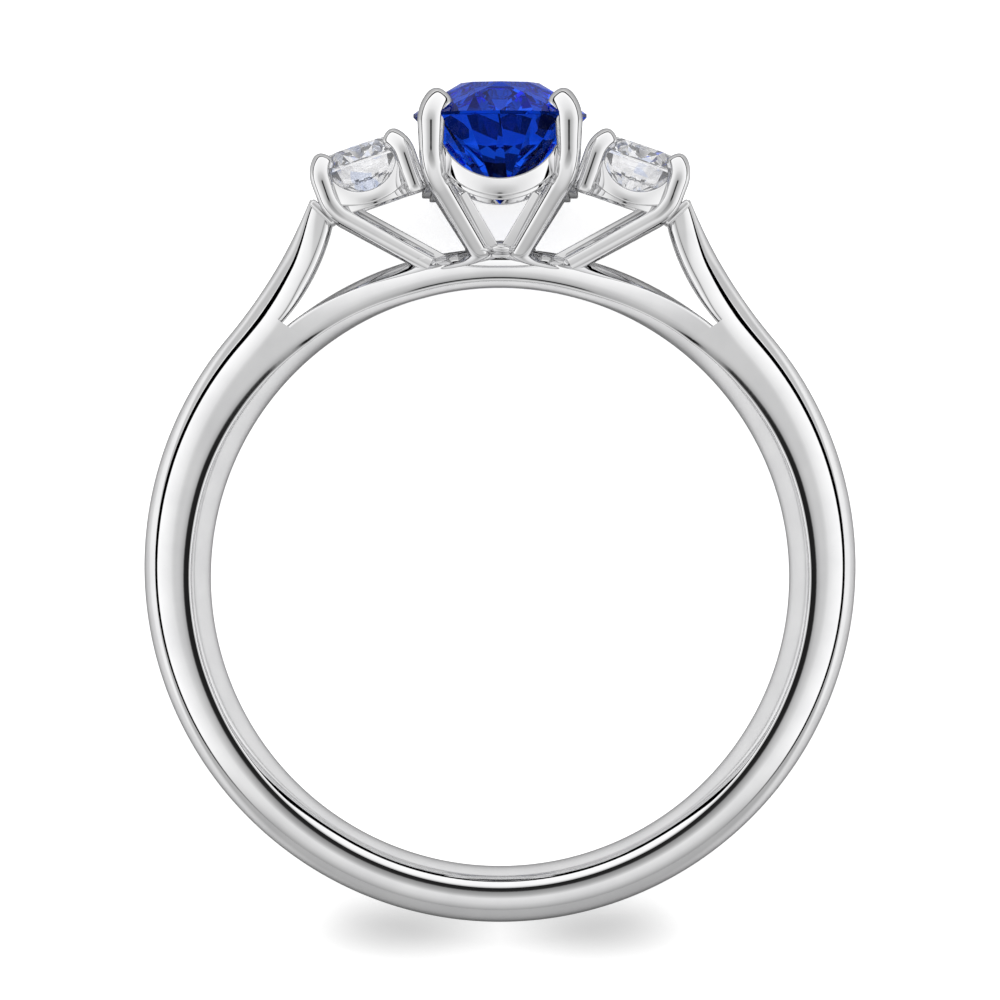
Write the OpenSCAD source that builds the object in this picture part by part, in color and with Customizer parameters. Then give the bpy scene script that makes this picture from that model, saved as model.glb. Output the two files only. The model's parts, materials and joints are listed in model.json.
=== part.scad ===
// Three stone ring: a long oval sapphire between two round diamonds, each held by four claws
// on a scalloped basket. The round band divides below the head into two arms, which are
// soldered to the outer baskets, and a bridge, which carries the claws and closes the finger
// hole. The ring lies on its side, on the end of the sapphire and on the palm side of the band.

/* [Finger hole] */
// Diameter of the finger hole
hole_d = 17; // [15:0.1:19]
// Width of the straight middle band of the hole
bore_w = 1; // [0.7:0.1:1.2]

/* [Band] */
// Width of the band along the finger
band_w = 2.2; // [2:0.05:2.4]
// Thickness of the band at the palm
palm_t = 1.65; // [1.5:0.05:2]
// Thickness that the round outline would have under the head
crown_t = 2.27; // [2.1:0.01:2.4]

/* [Shoulders] */
// Angle above the middle of the band at which the shoulders leave the round
shoulder_angle = 40; // [36:1:43]
// Angle above the middle of the hole at which the band divides
fork_angle = 50.5; // [49:0.5:53]
// Width of the blunt end of the slot at the fork
fork_gap = 0.2; // [0.15:0.01:0.3]
// Thickness of an arm at its soldered end
arm_t = 0.95; // [0.8:0.05:1.1]
// Radius of the hollow curve of an arm's underside
arm_under_r = 6.5; // [5.5:0.1:8]
// Thickness of the bridge under the head
bridge_t = 1.15; // [1:0.05:1.4]
// Width of the bridge along the finger
bridge_w = 2.1; // [1.9:0.05:2.15]
// Radius that rounds the bridge's outer edges
bridge_round = 0.5; // [0.3:0.05:0.55]

/* [Sapphire] */
// Width of the sapphire across the finger
sapphire_w = 5.1; // [4.8:0.1:5.4]
// Length of the sapphire along the finger
sapphire_l = 7; // [6.6:0.1:7.4]
// Height of the sapphire above its girdle
sapphire_crown = 0.97; // [0.8:0.01:1.1]
// Depth of the sapphire below its girdle
sapphire_pavilion = 2.6; // [2.3:0.05:2.8]
// Width of the sapphire's table as a share of the sapphire's width
sapphire_table = 0.45; // [0.42:0.01:0.58]
// Height of the sapphire's girdle above the bridge
sapphire_h = 3.9; // [3.7:0.05:4.2]

/* [Diamonds] */
// Diameter of each diamond
diamond_d = 3; // [2.8:0.05:3.2]
// Height of a diamond above its girdle
diamond_crown = 0.49; // [0.4:0.01:0.55]
// Depth of a diamond below its girdle
diamond_pavilion = 1.29; // [1.1:0.01:1.35]
// Width of a diamond's table as a share of the diamond's width
diamond_table = 0.57; // [0.5:0.01:0.62]
// Height of the sapphire's girdle above the middle of a diamond's
diamond_drop = 1.35; // [1.25:0.05:1.5]
// Angle at which the diamonds lean outwards
lean = 19; // [16:0.5:22]

/* [Stone cut] */
// Thickness of the girdles
girdle_t = 0.1; // [0.05:0.01:0.14]
// Gap between a stone and the metal round it
seat_gap = 0.04; // [0.02:0.01:0.08]

/* [Centre basket] */
// Distance from the sapphire's girdle out to the middle line of a claw
claw_out = 0.03; // [0:0.01:0.08]
// Angle between the width of the sapphire and a claw
claw_angle = 47.5; // [45:0.5:50]
// Radius of a claw at its head
claw_r = 0.4; // [0.36:0.01:0.44]
// Radius of a claw at its foot
foot_r = 0.31; // [0.26:0.01:0.34]
// Height of a claw above the girdle
claw_h = 0.75; // [0.65:0.01:0.85]
// Angle through which a claw bends over its stone
claw_bend = 50; // [45:1:60]
// Depth of a claw's knee below the girdle
knee_depth = 1.62; // [1.4:0.01:1.8]
// Radius of the middle line of a claw's knee
knee_r = 1.6; // [1.2:0.05:1.8]
// Distance of a claw's foot from the middle of the bridge, across the finger
foot_x = 0.64; // [0.5:0.01:0.75]
// Distance of a claw's foot from the middle of the bridge, along the finger
foot_z = 0.5; // [0.4:0.01:0.6]
// Distance from the sapphire's girdle in to the outside of the basket
basket_in = 0.25; // [0.2:0.01:0.3]
// Thickness of the basket's wall
basket_t = 0.45; // [0.35:0.01:0.5]
// Depth of the basket's lower edge below the girdle
basket_depth = 2.32; // [2.2:0.01:2.4]
// Height of the basket's wall at the lowest place of a scallop
scallop_t = 0.53; // [0.45:0.01:0.6]
// Radius of the scallops of the upper edge
scallop_r = 1.87; // [1.8:0.01:2]
// Radius of the hanging curves of the lower edge
swag_r = 2.2; // [2.1:0.01:2.4]
// Height to which the basket's wall rises beside a claw
wall_rise = 1.35; // [1.2:0.01:1.4]
// Height of the fine rim that shows below the basket's wall
rim_t = 0.14; // [0.1:0.01:0.2]

/* [Side baskets] */
// Distance from a diamond's girdle out to the middle line of a claw
side_claw_out = 0.24; // [0.2:0.01:0.28]
// Angle between the width of a side basket and its claws
side_claw_angle = 43; // [42:0.5:46]
// Radius of a side claw at its head
side_claw_r = 0.33; // [0.3:0.01:0.36]
// Radius of a side claw at its foot
side_foot_r = 0.3; // [0.26:0.01:0.32]
// Height of a side claw above the girdle
side_claw_h = 0.6; // [0.55:0.01:0.7]
// Depth of an outer claw's knee below the girdle
side_knee_depth = 1.08; // [0.95:0.01:1.2]
// Radius of the middle line of an outer claw's knee
side_knee_r = 1.1; // [0.8:0.05:1.3]
// Distance of an outer claw's foot from the middle of the bridge, across the finger
side_foot_x = 2.35; // [2.2:0.05:2.5]
// Distance of an outer claw's foot from the middle of the bridge, along the finger
side_foot_z = 0.6; // [0.5:0.01:0.65]
// Distance from a diamond's girdle out to the outside of its basket
side_basket_out = 0.29; // [0.25:0.01:0.32]
// Thickness of a side basket's wall
side_basket_t = 0.35; // [0.3:0.01:0.42]
// Depth of the lower edge of a side basket's wall below the girdle
side_basket_depth = 1.28; // [1.2:0.01:1.35]
// Height of a side basket's wall at the lowest place of a scallop
side_scallop_t = 0.38; // [0.3:0.01:0.45]
// Radius of the scallops of the upper edge
side_scallop_r = 1.08; // [1.04:0.01:1.12]
// Radius of the hanging curves of the lower edge
side_swag_r = 2.3; // [2:0.05:3]
// Height to which a side basket's wall rises beside a claw
side_wall_rise = 0.72; // [0.6:0.01:0.8]
// Height of the flat rim below a side basket's wall
side_rim_t = 0.09; // [0.06:0.01:0.12]
// Thickness of the solder lug between a side basket and the centre basket
lug_t = 0.4; // [0.3:0.05:0.5]
// Height of the solder lug
lug_h = 0.56; // [0.4:0.02:0.6]

/* [Webs] */
// Width of the web that shows inside each centre leg
web_show = 0.26; // [0.15:0.01:0.35]
// Width of the web that shows inside each outer leg
side_web_show = 0.14; // [0.1:0.01:0.25]

/* [Hidden] */
$fn = 96;
metal = "gainsboro";
hole_r = hole_d / 2;
// The outer outline of the band is a circle whose middle lies towards the head
round_r = (hole_d + palm_t + crown_t) / 2;
round_y = (crown_t - palm_t) / 2;
edge_r = band_w / 2;
bridge_r = hole_r + bridge_t;
// Depth that one soldered piece runs into another, and the step that keeps their skins apart
weld = 0.3;
// The same for the claws' knees and for the thin pieces
lap = 0.1;
neck_lap = 0.05;
step_in = 0.01;
past = 1;
// Reach of cutting slabs, past the whole ring
far = 40;
// The hole's edges turn outwards in an arc from the straight band to the faces
inner_round = (band_w - bore_w) / 2 + step_in;
flare_r = hole_r + inner_round;

// Places of the stones: the middle of each girdle
sapphire_y = bridge_r + sapphire_h;
girdle_reach = 1 / norm([2 * cos(claw_angle) / sapphire_w, 2 * sin(claw_angle) / sapphire_l]);
claw_at = (girdle_reach + claw_out) * [cos(claw_angle), sin(claw_angle)];
basket_a = sapphire_w / 2 - basket_in;
basket_b = sapphire_l / 2 - basket_in;
side_at = (diamond_d / 2 + side_claw_out) * [cos(side_claw_angle), sin(side_claw_angle)];
side_basket_low = side_basket_depth + side_rim_t;
side_basket_r = diamond_d / 2 + side_basket_out;
// The inner claws of the side baskets end against the wall of the centre basket
side_lap = 0.19;
diamond_x = basket_a - side_lap + (side_at.x + side_claw_r) * cos(lean)
            + side_basket_low * sin(lean);
diamond_y = sapphire_y - diamond_drop;

// Turning the ring about the line across the finger sets it on its side
lie_reach = sapphire_y - girdle_t / 2 + round_r - round_y - edge_r;
lie_hyp = norm([sapphire_l / 2, lie_reach]);
lie_tilt = acos(edge_r / lie_hyp) - atan2(lie_reach, sapphire_l / 2);

// A point given along a diamond's slope and depth, in the plane of the ring
function side_point(u, h) = [diamond_x + u * cos(lean) + h * sin(lean),
                             diamond_y - u * sin(lean) + h * cos(lean)];
// The same point seen from the diamond
function side_local(p) = [(p.x - diamond_x) * cos(lean) - (p.y - diamond_y) * sin(lean),
                          (p.x - diamond_x) * sin(lean) + (p.y - diamond_y) * cos(lean)];
// Height of the bridge's crest at a distance across the finger
function bridge_y(x) = sqrt(pow(bridge_r, 2) - pow(x, 2));

// Outer curve of a shoulder: it leaves the round without a corner and ends on the side basket
arm_drop = 0.45;
arm_tip = side_point(side_basket_r, -side_basket_depth * arm_drop);
leave_n = [cos(shoulder_angle), sin(shoulder_angle)];
leave_p = [0, round_y] + round_r * leave_n;
sweep_r = pow(norm(arm_tip - leave_p), 2) / (2 * leave_n * (arm_tip - leave_p));
sweep_o = leave_p + sweep_r * leave_n;
tip_angle = atan2(arm_tip.y - sweep_o.y, arm_tip.x - sweep_o.x);
tip_n = [cos(tip_angle), sin(tip_angle)];
// Under side of an arm: an arc through the fork and the arm's inner corner
fork_n = [cos(fork_angle), sin(fork_angle)];
fork_p = (bridge_r + fork_gap) * fork_n;
arm_in = arm_tip + arm_t * tip_n;
chord = arm_in - fork_p;
chord_n = [chord.y, -chord.x] / norm(chord);
under_o = (arm_in + fork_p) / 2 + sqrt(pow(arm_under_r, 2) - pow(norm(chord) / 2, 2)) * chord_n;
// Angle that a swept piece runs on inside its neighbour
root_turn = 0.8;
// Radius of a claw's bend over its stone, of its tip and of the basket's ends, as shares
lean_share = 1.15;
tip_share = 0.85;
end_share = 0.85;
// Share of a side leg that its web runs along
side_web_share = 0.8;

// Section of the band: half round outside, straight towards the finger
module band_section(r) {
    translate([r - edge_r, 0]) circle(edge_r);
    translate([r - edge_r - 2 * past, -edge_r]) square([2 * past, band_w]);
}

// Section of what the finger hole removes: straight in the middle, flared at both edges
module bore_section() {
    difference() {
        translate([0, -3 * past]) square([flare_r + past, 6 * past]);
        translate([hole_r, -bore_w / 2]) square([4 * past, bore_w]);
        for (s = [-1, 1]) translate([flare_r, s * bore_w / 2]) circle(inner_round);
        translate([flare_r, -bore_w / 2 - inner_round])
            square([4 * past, bore_w + 2 * inner_round]);
    }
}

module bore() {
    rotate_extrude() bore_section();
}

// Everything on one side of a line through a point, towards its normal, as a slab
module beyond(p, angle) {
    translate([p.x, p.y, 0]) rotate([0, 0, angle])
        translate([0, -far / 2, -far / 2]) cube([far, far, far]);
}

// The round part of the band, up to where the shoulders leave it
module band() {
    translate([0, round_y, 0])
        rotate([0, 0, 180 - shoulder_angle]) rotate_extrude(angle = 180 + 2 * shoulder_angle)
            band_section(round_r);
}

// Right shoulder and arm, with the same round outside as the band. It starts inside the band.
module shoulder() {
    start = shoulder_angle + 180 + root_turn;
    difference() {
        translate([sweep_o.x, sweep_o.y, 0])
            rotate([0, 0, tip_angle]) rotate_extrude(angle = start - (tip_angle + 360) % 360)
                arm_section();
        difference() {
            beyond([0, 0], fork_angle + 90);
            translate([under_o.x, under_o.y, -2 * past]) cylinder(r = arm_under_r, h = 4 * past);
        }
    }
}

// Section of an arm, measured from the middle of its outward curve
module arm_section() {
    translate([sweep_r + edge_r, 0]) circle(edge_r - step_in);
    translate([sweep_r + edge_r, -edge_r + step_in]) square([2.2 * past, band_w - 2 * step_in]);
}

// Bridge below the head, from fork to fork
module bridge() {
    from = fork_angle - root_turn;
    rotate([0, 0, from]) rotate_extrude(angle = 180 - 2 * from) {
        translate([hole_r - past, -bridge_w / 2])
            square([bridge_t + past - bridge_round, bridge_w]);
        translate([hole_r - past, -bridge_w / 2 + bridge_round])
            square([bridge_t + past, bridge_w - 2 * bridge_round]);
        for (s = [-1, 1])
            translate([bridge_r - bridge_round, s * (bridge_w / 2 - bridge_round)])
                circle(bridge_round);
    }
}

// Rounded end of a claw with a small flat in the middle. It starts inside the claw.
module tip(r) {
    edge = tip_share * r;
    rotate_extrude() intersection() {
        translate([0, -neck_lap]) square([r, neck_lap + edge]);
        union() {
            translate([r - edge, 0]) circle(edge);
            translate([0, -neck_lap]) square([r - edge, neck_lap + edge]);
        }
    }
}

// Top of a claw: the shaft leans in over the stone and ends in a round tip
module claw_head(at, neck_h, head_r, lean_r) {
    rotate([0, 0, atan2(-at.y, -at.x)]) translate([lean_r, 0, neck_h]) rotate([90, 0, 0])
        rotate([0, 0, 180 - claw_bend]) {
            rotate_extrude(angle = claw_bend) translate([lean_r, 0]) circle(head_r);
            translate([lean_r, 0, 0]) rotate([90, 0, 0]) tip(head_r - step_in);
        }
}

// One claw in its stone's frame, with the stone's axis upwards. It starts at a foot, bends
// up to the stone and leans over its edge.
module claw(at, top, foot, knee, bend_r, head_r, low_r) {
    mid_r = (head_r + low_r) / 2;
    lean_r = head_r * lean_share;
    neck_h = top - head_r - lean_r * sin(claw_bend);
    run = [foot.x - at.x, foot.y - at.y];
    slope = atan2(norm(run), knee - foot.z);
    tangent = bend_r * tan(slope / 2);
    end_s = bend_r * (1 - cos(slope));
    end_h = knee + tangent - bend_r * sin(slope);
    leg_l = norm([norm(run) - end_s, end_h - foot.z]);
    translate([at.x, at.y, 0]) {
        claw_head(at, neck_h, head_r, lean_r);
        translate([0, 0, knee + tangent - lap])
            cylinder(r1 = mid_r - step_in, r2 = head_r - step_in,
                     h = neck_h - knee - tangent + lap + neck_lap);
        rotate([0, 0, atan2(run.y, run.x)]) {
            translate([bend_r, 0, knee + tangent]) rotate([90, 0, 0]) rotate([0, 0, 180])
                rotate_extrude(angle = slope) translate([bend_r, 0]) circle(mid_r);
            translate([end_s, 0, end_h]) rotate([0, 180 - slope, 0]) translate([0, 0, -lap])
                cylinder(r1 = mid_r - step_in, r2 = low_r, h = leg_l + lap + weld);
        }
    }
}

// Claw that ends on the basket's lower edge
module short_claw(at, top, low, head_r) {
    lean_r = head_r * lean_share;
    neck_h = top - head_r - lean_r * sin(claw_bend);
    translate([at.x, at.y, 0]) {
        claw_head(at, neck_h, head_r, lean_r);
        translate([0, 0, low]) cylinder(r = head_r - step_in, h = neck_h - low + neck_lap);
    }
}

// Oval outline of four arcs: half width a, half length b and radius of its ends
module oval(a, b, end_r) {
    side_r = (a * a + b * b - 2 * b * end_r) / (2 * (a - end_r));
    join_y = (b - end_r) * side_r / (side_r - end_r);
    for (s = [-1, 1]) translate([0, s * (b - end_r)]) circle(end_r);
    intersection() {
        translate([side_r - a, 0]) circle(side_r);
        translate([a - side_r, 0]) circle(side_r);
        translate([-a, -join_y]) square([2 * a, 2 * join_y]);
    }
}

// Side view of a basket's wall: a swag between two claws. Heights are below the girdle: low
// is the lower edge and height is the wall's height in the middle.
module swag(low, height, rise, upper_r, lower_r) {
    difference() {
        intersection() {
            translate([0, lower_r - low]) circle(lower_r);
            translate([-lower_r, -low]) square([2 * lower_r, height + rise]);
        }
        translate([0, upper_r + height - low]) circle(upper_r);
    }
}

// Plan of two opposite sides of a basket, between the lines from its middle through the claws
module sides(at) {
    for (s = [-far, far])
        polygon([[0, 0], s * [at.x + neck_lap, at.y], s * [-at.x - neck_lap, at.y]]);
}

// Cuts a basket's wall, given as a child, to swags on all four sides. The swags of the longer
// sides have radii larger by longer.
module swags(at, low, height, rise, upper_r, lower_r, longer, reach) {
    intersection() {
        children();
        linear_extrude(2 * low, center = true) sides(at);
        rotate([90, 0, 0]) linear_extrude(2 * reach, center = true)
            swag(low, height, rise, upper_r, lower_r);
    }
    intersection() {
        children();
        linear_extrude(2 * low, center = true) rotate(90) sides([at.y, at.x]);
        rotate([90, 0, 90]) linear_extrude(2 * reach, center = true)
            swag(low, height, rise, upper_r + longer, lower_r + longer);
    }
}

// Places what is drawn round a stone's upright axis at the sapphire
module at_sapphire() {
    translate([0, sapphire_y, 0]) rotate([-90, 0, 0]) children();
}

// The same at a diamond: side is 1 on the right and -1 on the left
module at_diamond(side) {
    translate([side * diamond_x, diamond_y, 0]) rotate([0, 0, -side * lean])
        rotate([-90, 0, 0]) children();
}

// Oval wall from an outer to an inner inset, hanging down to a depth
module oval_wall(outer, inner, depth) {
    end_r = basket_a * end_share;
    translate([0, 0, -depth]) linear_extrude(depth) difference() {
        oval(basket_a - outer, basket_b - outer, end_r - outer);
        oval(basket_a - inner, basket_b - inner, end_r - inner);
    }
}

// Oval basket below the sapphire, with its fine rim
module centre_basket() {
    longer = claw_at.y - claw_at.x;
    reach = 2 * basket_b;
    at_sapphire() {
        swags(claw_at, basket_depth, scallop_t, wall_rise, scallop_r, swag_r, longer, reach)
            oval_wall(0, basket_t, basket_depth);
        swags(claw_at, basket_depth + rim_t, scallop_t, wall_rise, scallop_r, swag_r, longer,
              reach)
            oval_wall(basket_t / 2, basket_t - step_in, basket_depth + rim_t);
    }
}

// Four claws of the sapphire, down to the bridge
module centre_claws() {
    foot_h = bridge_y(foot_x) - sapphire_y;
    at_sapphire() for (sx = [-1, 1], sy = [-1, 1])
        claw([sx * claw_at.x, sy * claw_at.y], claw_h, [sx * foot_x, sy * foot_z, foot_h],
             -knee_depth, knee_r, claw_r, foot_r);
}

// Round wall from an outer to an inner inset, between two depths
module round_wall(outer, inner, depth, height) {
    translate([0, 0, -depth]) linear_extrude(height) difference() {
        circle(side_basket_r - outer);
        circle(side_basket_r - inner);
    }
}

// Round basket below one diamond, on a flat rim
module side_basket(side) {
    at_diamond(side) {
        swags(side_at, side_basket_depth, side_scallop_t, side_wall_rise, side_scallop_r,
              side_swag_r, 0, 2 * side_basket_r)
            round_wall(0, side_basket_t, side_basket_depth, side_basket_depth);
        round_wall(side_basket_t / 2, side_basket_t - step_in, side_basket_low, side_scallop_t);
    }
}

// Two outer claws of a diamond run down to the bridge, two inner ones end on the basket
module side_claws(side) {
    foot = side_local([side_foot_x, bridge_y(side_foot_x)]);
    at_diamond(side) for (sy = [-1, 1]) {
        claw([side * side_at.x, sy * side_at.y], side_claw_h,
             [side * foot.x, sy * side_foot_z, foot.y],
             -side_knee_depth, side_knee_r, side_claw_r, side_foot_r);
        short_claw([-side * side_at.x, sy * side_at.y], side_claw_h, -side_basket_low,
                   side_claw_r);
    }
}

// Solder lug between the inner claws of a side basket and the wall of the centre basket
module lug(side) {
    p = side_point(-side_at.x - side_claw_r, -side_basket_low);
    translate([side * p.x - lug_t / 2, p.y + lap, -side_at.y])
        cube([lug_t, lug_h, 2 * side_at.y]);
}

// Web between the front and the back leg on the right: a flat strip along the legs, from the
// foot line to the top line, and no wider than the space between the legs
module web(foot, knee, low_r, show, foot_z, top_z) {
    u = (knee - foot) / norm(knee - foot);
    n = [-u.y, u.x];
    low = foot - weld * u;
    intersection() {
        linear_extrude(2 * top_z, center = true)
            polygon([low, knee, knee + n * (low_r + show), low + n * (low_r + show)]);
        rotate([90, 0, 90]) linear_extrude(far, center = true)
            polygon([[low.y, -foot_z], [knee.y, -top_z], [knee.y, top_z], [low.y, foot_z]]);
    }
}

module centre_web() {
    knee = [claw_at.x, sapphire_y - knee_depth];
    foot = [foot_x, bridge_y(foot_x)];
    share = (sapphire_y - basket_depth - rim_t - foot.y) / (knee.y - foot.y);
    web(foot, foot + share * (knee - foot), foot_r, web_show, foot_z,
        foot_z + share * (claw_at.y - foot_z));
}

module side_web() {
    knee = side_point(side_at.x, -side_knee_depth);
    foot = [side_foot_x, bridge_y(side_foot_x)];
    web(foot, foot + side_web_share * (knee - foot), side_foot_r, side_web_show, side_foot_z,
        side_foot_z + side_web_share * (side_at.y - side_foot_z));
}

// Brilliant cut: rings of points round the axis, as shares of the half width a and the half
// length b. Main facets lie flat because the points beside them are set on their planes.
mains = 8;
step = 360 / mains;
lower_share = 0.24;
function ring_points(a, b, share, h, turn) =
    [for (i = [0 : mains - 1]) [a * share * cos(step * (i + turn)),
                                b * share * sin(step * (i + turn)), h]];
function girdle_points(a, b, h) =
    [for (i = [0 : 2 * mains - 1]) [a * cos(step / 2 * i), b * sin(step / 2 * i), h]];

module brilliant(a, b, crown, pavilion, girdle, table_share) {
    top = girdle / 2;
    star_share = (1 + table_share) / 2;
    star_h = top + (crown - top) * (1 - star_share * cos(step / 2)) / (1 - table_share);
    lower_h = -pavilion + (pavilion - top) * lower_share * cos(step / 2);
    points = concat(
        ring_points(a, b, table_share, crown, 0),
        ring_points(a, b, star_share, star_h, 0.5),
        girdle_points(a, b, top),
        girdle_points(a, b, -top),
        ring_points(a, b, lower_share, lower_h, 0.5),
        [[0, 0, -pavilion]]
    );
    table = 0;
    star = mains;
    upper = 2 * mains;
    under = 4 * mains;
    lower = 6 * mains;
    culet = 7 * mains;
    faces = concat(
        [[for (i = [mains - 1 : -1 : 0]) table + i]],
        [for (i = [0 : mains - 1]) let (j = (i + 1) % mains, k = (i + mains - 1) % mains,
                                        g = 2 * i, h = (2 * i + 1) % (2 * mains),
                                        e = (2 * i + 2) % (2 * mains))
            each [
                [table + i, table + j, star + i],
                [table + i, star + i, upper + g, star + k],
                [star + i, upper + h, upper + g],
                [star + i, upper + e, upper + h],
                [upper + g, upper + h, under + h, under + g],
                [upper + h, upper + e, under + e, under + h],
                [under + g, under + h, lower + i],
                [under + h, under + e, lower + i],
                [under + g, lower + i, culet, lower + k]
            ]]
    );
    polyhedron(points, faces);
}

// The stones, or the room for them if a gap is given
module sapphire(gap = 0) {
    at_sapphire() brilliant(sapphire_w / 2 + gap, sapphire_l / 2 + gap, sapphire_crown + gap,
                            sapphire_pavilion + gap, girdle_t + 2 * gap, sapphire_table);
}

module diamond(side, gap = 0) {
    at_diamond(side) brilliant(diamond_d / 2 + gap, diamond_d / 2 + gap, diamond_crown + gap,
                               diamond_pavilion + gap, girdle_t + 2 * gap, diamond_table);
}

// Sets the upright ring on its side
module lying() {
    rotate([lie_tilt, 0, 0]) children();
}

// All the soldered metal
module ring_mount() {
    color(metal) lying() difference() {
        union() {
            band();
            for (m = [0, 1]) mirror([m, 0, 0]) {
                shoulder();
                centre_web();
                side_web();
            }
            bridge();
            centre_basket();
            centre_claws();
            for (side = [-1, 1]) {
                side_basket(side);
                side_claws(side);
                lug(side);
            }
        }
        bore();
        sapphire(seat_gap);
        for (side = [-1, 1]) diamond(side, seat_gap);
    }
}

module centre_sapphire() {
    color("mediumblue") lying() sapphire();
}

module left_diamond() {
    color("white") lying() diamond(-1);
}

module right_diamond() {
    color("white") lying() diamond(1);
}

ring_mount();
centre_sapphire();
left_diamond();
right_diamond();
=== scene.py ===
import json
import math
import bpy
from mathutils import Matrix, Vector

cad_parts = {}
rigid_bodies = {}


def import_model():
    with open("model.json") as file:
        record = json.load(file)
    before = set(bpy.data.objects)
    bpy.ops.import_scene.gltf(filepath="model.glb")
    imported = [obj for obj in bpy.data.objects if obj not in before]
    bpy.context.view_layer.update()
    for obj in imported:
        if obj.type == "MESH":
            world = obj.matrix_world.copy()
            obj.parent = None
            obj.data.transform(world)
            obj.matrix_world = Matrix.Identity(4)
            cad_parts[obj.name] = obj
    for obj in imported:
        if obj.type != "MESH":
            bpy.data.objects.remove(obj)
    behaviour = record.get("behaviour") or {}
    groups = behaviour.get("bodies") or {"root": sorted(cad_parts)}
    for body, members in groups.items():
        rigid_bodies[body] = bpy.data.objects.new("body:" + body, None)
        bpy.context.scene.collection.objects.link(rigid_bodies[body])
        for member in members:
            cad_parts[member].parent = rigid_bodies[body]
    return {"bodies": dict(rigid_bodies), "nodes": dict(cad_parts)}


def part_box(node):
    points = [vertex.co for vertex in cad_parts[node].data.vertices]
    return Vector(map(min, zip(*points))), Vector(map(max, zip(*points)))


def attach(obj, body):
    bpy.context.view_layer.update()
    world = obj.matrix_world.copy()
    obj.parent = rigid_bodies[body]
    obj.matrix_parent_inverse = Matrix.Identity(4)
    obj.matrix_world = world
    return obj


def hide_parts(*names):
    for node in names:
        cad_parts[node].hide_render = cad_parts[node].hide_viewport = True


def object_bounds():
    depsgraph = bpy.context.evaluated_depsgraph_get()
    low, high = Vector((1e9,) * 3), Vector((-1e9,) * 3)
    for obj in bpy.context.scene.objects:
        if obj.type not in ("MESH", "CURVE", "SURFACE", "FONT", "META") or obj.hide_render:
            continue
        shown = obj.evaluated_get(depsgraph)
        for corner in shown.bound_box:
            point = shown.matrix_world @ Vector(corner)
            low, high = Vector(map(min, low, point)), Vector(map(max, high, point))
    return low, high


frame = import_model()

from types import SimpleNamespace

import bmesh
import bpy
import numpy as np
from bpy.props import FloatProperty, FloatVectorProperty, PointerProperty
from mathutils import Matrix, Vector

bl_info = {
    "name": "Three stone ring",
    "version": (1, 0, 0),
    "blender": (4, 5, 0),
    "location": "3D View > Sidebar > Ring",
    "description": "Builds a three stone ring in smooth metal around its packed model",
    "category": "Add Mesh",
}

MM = 0.001

# Objects that aren't the frame's own are taken out
KEPT = set(frame["nodes"].values()) | set(frame["bodies"].values())
for extra in [o for o in bpy.data.objects if o not in KEPT]:
    bpy.data.objects.remove(extra)
CAD_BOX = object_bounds()


def length(name, description, mm):
    """A size that the user can change, given in millimetres."""
    return FloatProperty(
        name=name, description=description, default=mm * MM, min=0.0, precision=5, unit="LENGTH"
    )


def turn(name, description, degrees):
    """An angle that the user can change, given in degrees."""
    return FloatProperty(
        name=name, description=description, default=math.radians(degrees), subtype="ANGLE"
    )


def share(name, description, value, top=1.0):
    """A plain share or factor."""
    return FloatProperty(name=name, description=description, default=value, min=0.0, max=top)


def colour(name, description, rgb):
    """A colour that the user can change."""
    return FloatVectorProperty(
        name=name, description=description, default=rgb, min=0.0, max=1.0, size=3, subtype="COLOR"
    )


class BandSizes(bpy.types.PropertyGroup):
    """Sizes of the band, its arms and the bridge."""

    hole_d: length("Finger hole", "Inside diameter", 17.0)
    width: length("Width", "Width along the finger", 2.2)
    palm_t: length("Palm thickness", "Thickness opposite the stones", 1.65)
    crown_t: length("Crown thickness", "Thickness that the round would have at the top", 2.27)
    shoulder: turn("Shoulder angle", "Where the shoulders leave the round", 40)
    fork: turn("Fork angle", "Where the arms leave the bridge", 49.4)
    fork_gap: length("Fork gap", "Width of the slot at its lower end", 0.2)
    arm_t: length("Arm thickness", "Thickness of an arm at its tip", 0.8)
    arm_under_r: length("Arm curve", "Radius of the curve under an arm", 6.5)
    arm_round: length("Arm edge", "Rounding of the arms' inner edges", 0.24)
    soften: length("Edge softness", "How far the polishing rounds the edges", 0.018)
    bridge_t: length("Bridge thickness", "Thickness of the bridge", 1.15)
    bridge_w: length("Bridge width", "Width of the bridge along the finger", 2.1)


class StoneSizes(bpy.types.PropertyGroup):
    """Sizes and places of the three stones."""

    sapphire_w: length("Sapphire width", "Width across the finger", 5.1)
    sapphire_l: length("Sapphire length", "Length along the finger", 7.0)
    sapphire_h: length("Sapphire height", "Girdle above the bridge", 3.9)
    girdle_t: length("Girdle", "Thickness of the girdles", 0.1)
    diamond_d: length("Diamond width", "Diameter of the round stones", 3.0)
    diamond_h: length("Diamond height", "Girdle above the bridge's radius", 2.55)
    lean: turn("Lean", "How far the diamonds lean outwards", 19)
    seat: share("Seat room", "Share by which a seat is larger than its stone", 0.012)


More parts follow.
